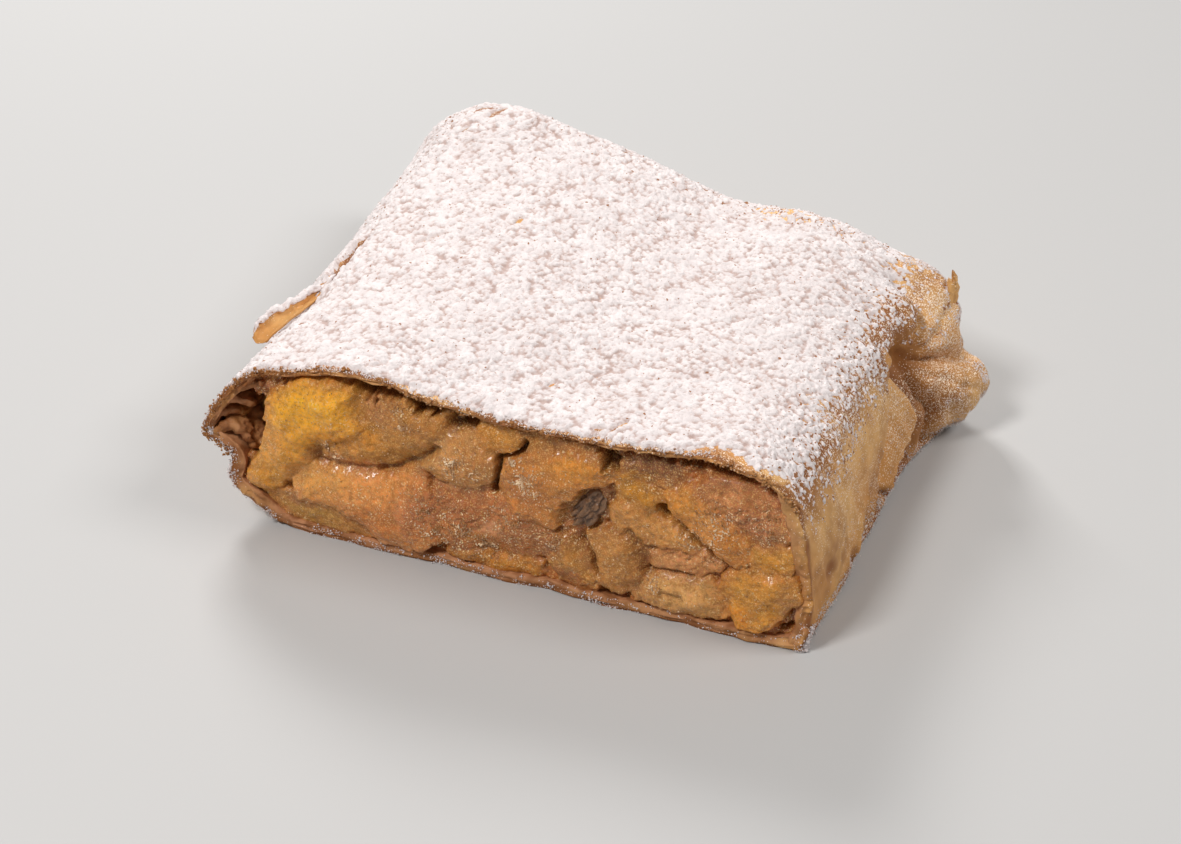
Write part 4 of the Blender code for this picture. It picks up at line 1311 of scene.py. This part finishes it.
# Where the flesh is more golden, more orange, pinker, greener or paler than the rest of its
# piece, as centre (x, z), half width, half height, colour and strength
SPOTS = {
    "yellow_heart": (-33.0, 27.0, 8.0, 5.0, (236, 178, 36), 0.95),
    "yellow_foot": (-27.0, 23.0, 6.5, 3.0, (212, 146, 48), 0.7),
    "yellow_pale_left": (-43.0, 20.0, 4.5, 8.0, (196, 142, 82), 0.75),
    "yellow_lower_left": (-43.5, 10.0, 4.0, 3.5, (190, 132, 46), 0.7),
    "slab_left_end": (-21.0, 30.0, 3.5, 3.5, (160, 112, 76), 0.8),
    "slab_middle": (-10.5, 28.5, 6.0, 3.0, (182, 124, 62), 0.6),
    "slab_lower_edge": (-15.0, 20.0, 6.0, 2.0, (146, 106, 52), 0.5),
    "long_slice_left": (-35.0, 12.0, 4.0, 4.0, (208, 156, 88), 0.8),
    "long_slice_middle": (-25.0, 12.5, 6.0, 4.0, (216, 150, 88), 0.7),
    "long_slice_upper": (-31.0, 12.5, 5.0, 3.0, (212, 160, 84), 0.6),
    "long_slice_foot": (-20.0, 7.0, 7.0, 3.0, (176, 104, 54), 0.6),
    "long_slice_pink_end": (-14.0, 11.0, 3.5, 6.0, (184, 116, 80), 0.85),
    "long_slice_pink_top": (-27.0, 16.6, 6.0, 1.4, (184, 116, 82), 0.8),
    "low_slice_green": (-33.0, 5.0, 5.0, 1.6, (172, 136, 70), 0.7),
    "low_slice_left_end": (-38.0, 7.0, 4.0, 1.6, (150, 104, 72), 0.7),
    "nugget_pale_left": (-9.0, 23.5, 3.0, 3.5, (196, 146, 92), 0.7),
    "nugget_heart": (-1.0, 24.5, 3.5, 2.5, (172, 116, 62), 0.6),
    "upper_nugget_gold": (0.0, 28.8, 4.0, 2.2, (190, 128, 52), 0.7),
    "syrup_dark_pool": (-6.0, 13.5, 4.0, 3.5, (148, 92, 60), 0.7),
    "syrup_pale_flake": (-0.6, 10.4, 2.2, 1.6, (214, 158, 122), 0.8),
    "syrup_foot": (-4.0, 7.6, 4.0, 1.8, (178, 120, 58), 0.6),
    "big_slice_gold_top": (16.5, 26.8, 5.5, 2.6, (212, 146, 54), 0.85),
    "big_slice_left": (7.0, 19.5, 4.5, 5.0, (180, 112, 60), 0.7),
    "big_slice_middle": (11.0, 23.5, 4.0, 3.0, (196, 134, 66), 0.6),
    "big_slice_foot": (12.0, 14.5, 3.0, 3.0, (192, 132, 66), 0.6),
    "thin_slice_gold": (2.5, 4.2, 6.0, 1.6, (196, 132, 44), 0.8),
    "brown_between_ovals": (14.0, 3.4, 6.0, 1.6, (150, 84, 50), 0.7),
    "wedge_gold": (26.5, 25.2, 2.2, 2.2, (196, 136, 34), 0.85),
    "diagonal_upper_end": (33.0, 24.5, 3.5, 2.5, (210, 146, 58), 0.8),
    "diagonal_lower_end": (43.0, 18.0, 3.0, 3.0, (190, 122, 48), 0.7),
    "ring_pale_heart": (34.0, 5.8, 5.0, 2.4, (214, 170, 116), 0.7),
    "ring_left_side": (29.5, 5.2, 3.0, 1.6, (186, 138, 84), 0.6),
    "mush_pale": (40.5, 24.0, 4.0, 3.0, (196, 146, 90), 0.5),
    "mush_pink": (45.0, 24.5, 5.0, 3.0, (168, 108, 76), 0.7),
    "knob_gold": (49.0, 17.4, 2.8, 2.2, (204, 146, 58), 0.8),
    "chunk_orange_corner": (44.6, 5.5, 3.0, 2.6, (214, 142, 46), 0.85),
    "chunk_middle": (49.0, 9.5, 3.5, 3.5, (196, 140, 60), 0.7),
    "chunk_rim": (52.6, 7.0, 2.0, 6.0, (170, 124, 84), 0.8),
    "crumb_dark": (20.0, 31.2, 3.5, 1.6, (120, 82, 62), 0.7),
}

# Where the flesh fell into small soft crumbs, as centre (x, z), half width and half height
CRUMBLY = (
    (44.5, 26.0, 8.0, 4.2), (27.5, 29.8, 4.6, 2.6), (-21.0, 31.5, 4.5, 2.4), (50.5, 3.6, 4.0, 2.6),
    (-6.0, 12.0, 5.0, 6.0), (33.5, 14.2, 5.0, 2.0), (2.5, 15.0, 4.0, 3.0), (18.5, 4.4, 3.0, 2.0),
)

# Where syrup beads glint, as centre (x, z) and spread
GLINTS = (
    (-12.6, 12.0, 3.0), (-11.4, 8.0, 2.2), (-6.7, 22.6, 2.6), (-3.2, 21.4, 1.4),
    (-6.5, 8.5, 3.6), (-1.6, 5.8, 2.4), (4.2, 26.0, 2.0), (6.0, 22.5, 3.2), (3.5, 12.5, 3.0),
    (35.5, 18.2, 2.4), (39.0, 14.6, 1.8), (10.5, 11.0, 2.2), (-30.0, 19.0, 2.0),
    (-16.0, 29.0, 2.4), (40.0, 22.0, 4.0), (29.0, 7.2, 1.6), (48.0, 24.0, 3.0),
)


def outline_distance(x, z, outline):
    """How far inside the outline each point lies; outside it is negative."""
    ends = np.array(outline, float)
    nearest = np.full(len(x), 1e9)
    inside = np.zeros(len(x), bool)
    for (x0, z0), (x1, z1) in zip(ends, np.roll(ends, -1, axis=0)):
        nearest = np.minimum(nearest, line_distance(x, z, (x0, z0), (x1, z1)))
        if z1 != z0:
            inside ^= ((z0 > z) != (z1 > z)) & (x < x0 + (z - z0) / (z1 - z0) * (x1 - x0))
    return np.where(inside, nearest, -nearest)


def filling_outline(inset):
    """The outline of the filling at the cut, this far inside the dough's outer face."""
    u = np.arange(0, len(CUT_SECTION), 0.1)
    ring = relief(wall_point(u, np.zeros(len(u))))[:, [0, 2]]
    along = np.roll(ring, -1, axis=0) - np.roll(ring, 1, axis=0)
    return ring + unit(np.column_stack([along[:, 1], -along[:, 0]])) * inset


def from_centre(x, z, centre_x, centre_z, half_x, half_z):
    """How far each point lies from the middle of an oval, squared; its edge is at 1."""
    return ((x - centre_x) / half_x) ** 2 + ((z - centre_z) / half_z) ** 2


def wander_of(places):
    """How far soft outlines stray from their smooth lines, along x and along z."""
    along_x = sum_noise(places, (0.55, 3.6, 71), (0.35, 1.3, 72))
    along_z = sum_noise(places, (0.55, 3.6, 73), (0.35, 1.3, 74))
    return along_x + 0.28 * soft_noise(places, 0.6, 69), along_z + 0.28 * soft_noise(places, 0.6, 70)


def melted_pieces(x, z, warp, warp_z):
    """How far inside the nearest and the second piece each point lies, and the pieces' looks there."""
    best = np.full(len(x), -9.0)
    second = np.full(len(x), -9.0)
    total = np.full(len(x), 1e-9)
    front, wet = np.zeros(len(x)), np.zeros(len(x))
    middle, rim = np.zeros((len(x), 3)), np.zeros((len(x), 3))
    for front_y, lean_x, lean_z, colour, rim_colour, wetness, outline in APPLE_PIECES.values():
        distance = outline_distance(x + warp, z + warp_z, outline)
        second = np.where(distance > best, best, np.maximum(second, distance))
        best = np.maximum(distance, best)
        centre = np.mean(outline, axis=0)
        weight = np.exp(np.clip(distance, -9.0, 9.0) / MELTS_TOGETHER * 2)
        total += weight
        front += weight * (front_y - lean_x * (x - centre[0]) - lean_z * (z - centre[1]))
        middle += weight[:, None] * np.array(from_screen(*colour))
        rim += weight[:, None] * np.array(from_screen(*rim_colour))
        wet += weight * wetness
    return best, second, front / total, wet / total, middle / total[:, None], rim / total[:, None]


def cracks_and_hollows(x, z, warp, warp_z, depth):
    """The depth with the cracks, the raisin's socket and the hollows, how dark they are, the socket."""
    shade = np.zeros(len(x))
    for deep, half_width, line in CRACKS:
        nearest = np.full(len(x), 9.0)
        for start, finish in zip(line, line[1:]):
            gap = line_distance(x + warp * 0.6, z + warp_z * 0.6, start, finish)
            nearest = np.minimum(nearest, gap)
        share = np.exp(-((nearest / half_width) ** 2))
        depth = depth + deep * share
        shade = np.maximum(shade, share * min(1.0, deep / DARK_BELOW))
    away_x, away_z = x - SOCKET_AT[0], z - SOCKET_AT[1]
    along = away_x * SOCKET_RUNS[0] + away_z * SOCKET_RUNS[1]
    beside = away_z * SOCKET_RUNS[0] - away_x * SOCKET_RUNS[1]
    inside = 1.5 - (along / SOCKET_HALF[0]) ** 2 - (beside / SOCKET_HALF[1]) ** 2
    socket = smooth_step(inside + 0.8 * warp, 0.2, 1.0)
    depth = depth * (1 - socket) + socket * SOCKET_DEPTH
    for *oval, deep in HOLLOWS:
        share = np.sqrt(np.clip(1 - from_centre(x + 2 * warp, z + 2 * warp_z, *oval), 0, 1))
        depth += deep * share
        shade = np.maximum(shade, smooth_step(share, 0.0, 0.6) * 0.9)
    return depth, shade, socket


def filling_face(x, z):
    """The cut face: how far back each point lies, its colour, its wetness and where it glints."""
    places = np.column_stack([x, np.zeros(len(x)), z])
    warp, warp_z = wander_of(places)
    best, second, front, wet, middle, rim = melted_pieces(x, z, warp, warp_z)
    to_edge = np.minimum(best + PIECE_GROWS, (best - second) / 2 + 0.1)
    edge = np.clip(to_edge / EDGE_ROUND, 0, 1)
    in_piece = smooth_step(best, -PIECE_GROWS - 0.6, -PIECE_GROWS + 0.6)
    slow = sum_noise(places, (0.8, 6.0, 75), (0.5, 2.6, 76))
    slow -= 1.3 * smooth_step(best, -1.5, 4.0)
    furrow = 0.1 + 0.9 * smooth_step(soft_noise(places, 3.8, 85), -0.35, 0.5)
    piece = front + furrow * 0.34 * (1 - edge) ** 1.6 + 0.75 * slow
    mush = MUSH_Y + sum_noise(places, (0.6, 1.8, 77), (0.35, 0.8, 78))
    depth = in_piece * piece + (1 - in_piece) * np.maximum(mush, piece * 0.5)
    depth, crack_shade, socket = cracks_and_hollows(x, z, warp, warp_z, depth)
    grain = sum_noise(places, (0.07, 0.5, 79), (0.09, 1.0, 80))
    depth += grain + 0.07 * (0.5 - domes(x, z, 0.6, 81)[0])
    crumbly = np.zeros(len(x))
    for oval in CRUMBLY:
        away = from_centre(x + 2 * warp, z + 2 * warp_z, *oval)
        crumbly = np.maximum(crumbly, np.exp(-(away**2)))
    crumbs = domes(x + warp, z + warp_z, 1.1, 87)[0] + 0.5 * domes(x - warp, z, 0.6, 88)[0]
    depth += crumbly * 0.62 * (0.7 - crumbs)
    glint = np.zeros(len(x))
    for centre_x, centre_z, spread in GLINTS:
        glint = np.maximum(glint, np.exp(-(((x - centre_x) ** 2 + (z - centre_z) ** 2) / spread**2)))
    for *oval, tint, strength in SPOTS.values():
        away = from_centre(x + 2 * warp, z + 2 * warp_z, *oval)
        share = (strength * np.exp(-(away**1.5)))[:, None]
        middle = middle * (1 - share) + share * np.array(from_screen(*tint))
        rim = rim * (1 - 0.7 * share) + 0.7 * share * np.array(from_screen(*tint))
    middle = middle * (1 - 0.5 * socket)[:, None]
    mottle = 0.5 + 0.5 * soft_noise(places, 2.0, 82)
    share = np.clip(0.9 * fade_out(to_edge, 0.0, 2.6) + 0.6 * mottle - 0.35, 0, 1)[:, None]
    colour = middle * (1 - share) + rim * share
    brown = np.array(SYRUP_BROWN) * (0.7 + 0.6 * mottle)[:, None]
    line = furrow * fade_out(edge, 0.0, 0.3)
    between = np.clip((1 - in_piece) * 0.8 + 0.5 * line**1.5, 0, 1)[:, None]
    colour = colour * (1 - between) + brown * between
    shade = (0.9 * crack_shade)[:, None]
    colour = colour * (1 - shade) + np.array(IN_THE_CRACKS) * shade
    fleck_and_crumb_shade = sum_noise(places, (0.16, 0.9, 83), (0.12, 0.5, 86))
    # Painted light and shade: the crumbs are paler on their tops and darker between them
    fleck_and_crumb_shade += crumbly * 0.28 * (crumbs - 0.7)
    colour *= (1.12 + 1.3 * fleck_and_crumb_shade)[:, None] * np.array(WARMTH)
    wet = wet + 0.4 * (1 - in_piece) + 0.5 * glint + 0.25 * soft_noise(places, 2.5, 84)
    return depth, colour, np.clip(wet, 0, 1), glint * (1 - crack_shade)


def apple_material():
    material, tree, shader = material_named("apple_filling", 0.42)
    tint = node_of(tree, "ShaderNodeAttribute", attribute_name="tint").outputs["Color"]
    fine = noise_of(tree, 1900.0, 3.0)
    grain = noise_of(tree, 4200.0, 2.0)
    spice = noise_of(tree, 2100.0, 1.0)
    # Painted shade and highlight over the flesh's own grainy colour: it is darkened where the fine bump
    # is low and paled where the grain bump is high
    deep = mix_of(tree, times(tree, ramp_of(tree, fine, 0.54, 0.3), 0.42), tint, (0.36, 0.14, 0.025))
    pale = mix_of(tree, times(tree, ramp_of(tree, grain, 0.5, 0.68), 0.5), deep, (0.92, 0.60, 0.21))
    specks = times(tree, ramp_of(tree, spice, 0.735, 0.76), 0.7)
    spiced = mix_of(tree, specks, pale, (0.10, 0.04, 0.018))
    wet = painted(tree, "wet")
    clustered = ramp_of(tree, noise_of(tree, 520.0, 2.0), 0.46, 0.62)
    sparkle = times(tree, ramp_of(tree, noise_of(tree, 3000.0, 0.0), 0.66, 0.71),
                    times(tree, plus(tree, wet, 0.12), clustered))
    tree.links.new(mix_of(tree, sparkle, spiced, (1.0, 0.78, 0.44)), shader.inputs["Base Color"])
    dry = node_of(tree, "ShaderNodeMapRange")
    dry.inputs["To Min"].default_value = 0.42
    dry.inputs["To Max"].default_value = 0.22
    tree.links.new(wet, dry.inputs["Value"])
    tree.links.new(dry.outputs["Result"], shader.inputs["Roughness"])
    tree.links.new(times(tree, wet, 0.55), shader.inputs["Coat Weight"])
    shader.inputs["Coat Roughness"].default_value = 0.12
    shader.inputs["Subsurface Weight"].default_value = 0.25
    shader.inputs["Subsurface Radius"].default_value = (0.002, 0.0011, 0.0004)
    shader.inputs["Specular IOR Level"].default_value = 0.3
    height = plus(tree, times(tree, fine, 0.6), times(tree, grain, 0.4))
    bump_of(tree, shader, height, 0.36, 0.8)
    return material


def paint_colour(obj, name, colours):
    """Keeps a colour at each point for the material to read."""
    layer = obj.data.color_attributes.new(name, "FLOAT_COLOR", "POINT")
    values = np.ones((len(colours), 4), np.float32)
    values[:, :3] = np.clip(colours, 0.0, 1.0)
    layer.data.foreach_set("color", values.ravel())


def extend_back(obj, to_y):
    """Closes a face into a solid: its open edge is carried straight back and capped."""
    shape = bmesh.new()
    shape.from_mesh(obj.data)
    edges = [edge for edge in shape.edges if edge.is_boundary]
    carried = bmesh.ops.extrude_edge_only(shape, edges=edges)["geom"]
    back_y = (to_y + ROLL_TO_ROW[1]) * MM
    for corner in carried:
        if isinstance(corner, bmesh.types.BMVert):
            corner.co.y = back_y
    rim = [edge for edge in carried if isinstance(edge, bmesh.types.BMEdge) and edge.is_boundary]
    bmesh.ops.edgeloop_fill(shape, edges=rim)
    bmesh.ops.recalc_face_normals(shape, faces=shape.faces)
    shape.to_mesh(obj.data)
    shape.free()


def as_filling(obj):
    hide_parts("apple_filling")
    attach(obj, BODY)


def make_cut_face(material):
    outline = filling_outline(FACE_INSET)
    lowest, highest = outline.min(axis=0), outline.max(axis=0) + FACE_SPACING
    x_row = np.arange(lowest[0], highest[0], FACE_SPACING)
    z_row = np.arange(lowest[1], highest[1], FACE_SPACING)
    x, z = (grid.ravel() for grid in np.meshgrid(x_row, z_row))
    inside = outline_distance(x, z, outline) > 0
    faces = np.array(grid_faces(len(z_row), len(x_row), False))
    used, own_faces = used_points(faces[inside[faces].all(axis=1)], len(x))
    depth, colour, wet, glint = filling_face(x[used], z[used])
    points = np.column_stack([x[used], np.minimum(depth, FACE_DEPTH), z[used]])
    obj = add_mesh("apple_at_cut", points, own_faces, material)
    paint_colour(obj, "tint", colour)
    paint(obj, "wet", wet)
    extend_back(obj, FACE_DEPTH + 3.0)
    as_filling(obj)
    return points, glint


apple = apple_material()
face_points, face_glint = make_cut_face(apple)

CORE_INSET = 2.4
CORE_STATIONS = (0.075, 0.14, 0.3, 0.5, 0.7, 0.85, 1.0, 1.5, 2.0, 3.0)


def make_core(material):
    """The rest of the filling, which runs to the tucked end inside the closed dough."""
    columns = np.arange(0, len(CUT_SECTION), 0.5)
    count, depth = len(columns), len(CORE_STATIONS)
    u, v = np.meshgrid(columns, CORE_STATIONS)
    even = roll_point(u.ravel(), v.ravel())
    sunk = np.minimum(dough_wrinkles(even), 0.0) - CORE_INSET
    sunk -= 6.5 * in_lobe(even[:, 0], even[:, 1])
    inner = even + grid_normals(even, depth, count, True) * sunk[:, None]
    inner[:, 1] = np.minimum(inner[:, 1], end_y(inner[:, 0]) - END_TUCK - CORE_INSET)
    inner += 0.3 * np.column_stack([soft_noise(inner, 6.0, 90 + turn) for turn in range(3)])
    obj = add_mesh("apple_inside", inner, tube_faces(depth, count), material)
    tidy_normals(obj)
    colour = np.tile(from_screen(176, 120, 64), (len(inner), 1))
    paint_colour(obj, "tint", colour * (1 + 0.2 * soft_noise(inner, 9.0, 95))[:, None])
    paint(obj, "wet", np.full(len(inner), 0.5))
    as_filling(obj)


make_core(apple)

# The beads of syrup and the coarse sugar that melted into it. They sit where the juice ran
# together between the pieces, and each catches a small highlight; the pale ones are partly sugar crystals
# and partly painted glints.


def bead_material():
    material, tree, shader = material_named("syrup_bead", 0.12)
    pale_crystals_and_glints = noise_of(tree, 500.0, 1.0)
    # Pale beads: partly sugar crystals and partly painted glints, their pale colour standing in for a
    # highlight
    tree.links.new(
        mix_of(tree, ramp_of(tree, pale_crystals_and_glints, 0.42, 0.66), (0.46, 0.22, 0.08), (0.95, 0.72, 0.46)),
        shader.inputs["Base Color"],
    )
    bump_of(tree, shader, noise_of(tree, 5000.0, 1.0), 0.05, 0.5)
    shader.inputs["Coat Weight"].default_value = 0.5
    shader.inputs["Coat Roughness"].default_value = 0.08
    return material


BEADS = 3200


def make_beads():
    random = np.random.default_rng(301)
    clumped = smooth_step(soft_noise(face_points, 1.3, 303), -0.1, 0.6)
    chance = face_glint**1.2 * (0.1 + 0.9 * clumped) + 0.02
    chosen = random.choice(len(face_points), BEADS, replace=False, p=chance / chance.sum())
    places = face_points[chosen] + random.uniform(-0.1, 0.1, (BEADS, 3))
    sizes = random.uniform(0.07, 0.19, BEADS) * (0.75 + 0.5 * face_glint[chosen])
    places[:, 1] -= 0.3 * sizes
    obj = scatter("syrup_beads", places, sizes, small_shape("bead", 1, 0.12, 7), bead_material(), 302)
    obj.data.shade_smooth()
    as_filling(obj)


make_beads()

# The raisin. It lies slanting in the cut face, half sunk in the syrup, dark and deeply wrinkled.

RAISIN_AT = np.array((17.6, 2.3, 19.3))
RAISIN_HALF = np.array((5.6, 3.1, 2.9))
RAISIN_TILT = math.radians(47.0)
RAISIN_RINGS = 110
RAISIN_SEGMENTS = 110


def raisin_material():
    material, tree, shader = material_named("raisin", 0.38)
    patches = noise_of(tree, 700.0, 3.0)
    dusty = noise_of(tree, 2400.0, 2.0)
    patchy = ramp_of(tree, patches, 0.35, 0.65)
    skin = mix_of(tree, patchy, (0.045, 0.022, 0.011), (0.17, 0.078, 0.034))
    # Painted sheen: the wrinkle ridges are painted lighter
    ridge = mix_of(tree, times(tree, painted(tree, "ridge"), 0.7), skin, (0.27, 0.14, 0.065))
    bloom = times(tree, ramp_of(tree, dusty, 0.5, 0.66), 0.5)
    tree.links.new(mix_of(tree, bloom, ridge, (0.36, 0.20, 0.11)), shader.inputs["Base Color"])
    bump_of(tree, shader, dusty, 0.2, 0.8)
    shader.inputs["Coat Weight"].default_value = 0.12
    shader.inputs["Coat Roughness"].default_value = 0.2
    return material


def make_raisin():
    ring = np.linspace(0, math.pi, RAISIN_RINGS)
    turn = np.linspace(0, math.tau, RAISIN_SEGMENTS, endpoint=False)
    turns, rings = np.meshgrid(turn, ring[1:-1])
    turns, rings = turns.ravel(), rings.ravel()
    direction = np.column_stack([
        np.cos(rings), np.sin(rings) * np.sin(turns), np.sin(rings) * np.cos(turns),
    ])
    direction = np.vstack([direction, (1, 0, 0), (-1, 0, 0)])
    folds = np.abs(soft_noise(direction * (0.8, 2.0, 2.0) + 9, 0.55, 311))
    small = np.abs(soft_noise(direction * (1.2, 2.4, 2.4) + 9, 0.26, 312))
    swell = 1 + 0.14 * soft_noise(direction + 9, 0.9, 313) - 0.06 * (direction[:, 0] + 0.4)
    size = swell + 0.24 * folds + 0.10 * small - 0.14
    shape = direction * size[:, None] * RAISIN_HALF
    shape[:, 2] += 0.35 * np.sin(direction[:, 0] * 2.2)
    cosine, sine = math.cos(RAISIN_TILT), math.sin(RAISIN_TILT)
    points = RAISIN_AT + np.column_stack([
        shape[:, 0] * cosine - shape[:, 2] * sine, shape[:, 1],
        shape[:, 0] * sine + shape[:, 2] * cosine,
    ])
    rows = RAISIN_RINGS - 2
    faces = grid_faces(rows, RAISIN_SEGMENTS, True)
    first, last = rows * RAISIN_SEGMENTS, rows * RAISIN_SEGMENTS + 1
    for column in range(RAISIN_SEGMENTS):
        ahead = (column + 1) % RAISIN_SEGMENTS
        faces.append((first, column, ahead))
        bottom = (rows - 1) * RAISIN_SEGMENTS
        faces.append((last, bottom + ahead, bottom + column))
    obj = add_mesh("wrinkled_raisin", points, faces, raisin_material())
    tidy_normals(obj)
    # The ridge value marks where the painted sheen lies on the wrinkle ridges
    paint(obj, "ridge", smooth_step(folds + 0.5 * small, 0.2, 0.75))
    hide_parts("raisin")
    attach(obj, BODY)


make_raisin()

# The stage: a pale floor, soft studio light, and the camera at the photograph's angle.

CAMERA_AT = np.array((136.7, -301.9, 255.6))
CAMERA_TURN = math.radians(21.5)
CAMERA_RISE = math.radians(34.0)
LENS = 73.8

# Each light, as its place in metres, how wide it is and how strong
LIGHTS = (
    ("key", (-0.42, 0.52, 0.50), 0.24, 5.0),
    ("front", (-0.18, -0.42, 0.62), 0.16, 3.3),
    ("side", (0.60, 0.08, 0.70), 0.3, 3.3),
)
LIT_PLACE = (0.0, 0.0, 0.02)


def set_stage():
    mesh = bpy.data.meshes.new("floor")
    side = 1.6
    corners = [(-side, -side, 0), (side, -side, 0), (side, side, 0), (-side, side, 0)]
    mesh.from_pydata(corners, [], [(0, 1, 2, 3)])
    material, _, shader = material_named("floor", 0.8)
    shader.inputs["Base Color"].default_value = (0.5, 0.49, 0.48, 1.0)
    mesh.materials.append(material)
    floor = new_object("floor", mesh)
    world = bpy.data.worlds.new("studio")
    world.use_nodes = True
    sky = world.node_tree.nodes["Background"]
    sky.inputs["Color"].default_value = (1.0, 0.965, 0.93, 1.0)
    sky.inputs["Strength"].default_value = 0.2
    bpy.context.scene.world = world
    for name, place, size, power in LIGHTS:
        light = bpy.data.lights.new(name, "AREA")
        light.energy = power
        light.size = size
        lamp = new_object(name, light)
        lamp.matrix_world = look_from(np.array(place), np.array(LIT_PLACE))


def look_from(place, target):
    """The place and turn of a lamp or camera that looks at the target."""
    back = unit(place - target)
    right = unit(np.cross((0.0, 0.0, 1.0), back))
    rise = np.cross(back, right)
    matrix = Matrix.Identity(4)
    for row in range(3):
        matrix[row][0], matrix[row][1] = right[row], rise[row]
        matrix[row][2], matrix[row][3] = back[row], place[row]
    return matrix


def set_camera():
    view = bpy.data.cameras.new("photo_view")
    view.lens = LENS
    view.sensor_width = 36.0
    view.clip_start = 0.01
    camera = new_object("photo_view", view)
    place = (CAMERA_AT + ROLL_TO_ROW) * MM
    back = np.array((math.sin(CAMERA_TURN) * math.cos(CAMERA_RISE),
                     -math.cos(CAMERA_TURN) * math.cos(CAMERA_RISE), math.sin(CAMERA_RISE)))
    camera.matrix_world = look_from(place, place - back)
    bpy.context.scene.camera = camera


set_stage()
set_camera()
bpy.context.scene.view_settings.view_transform = "Standard"
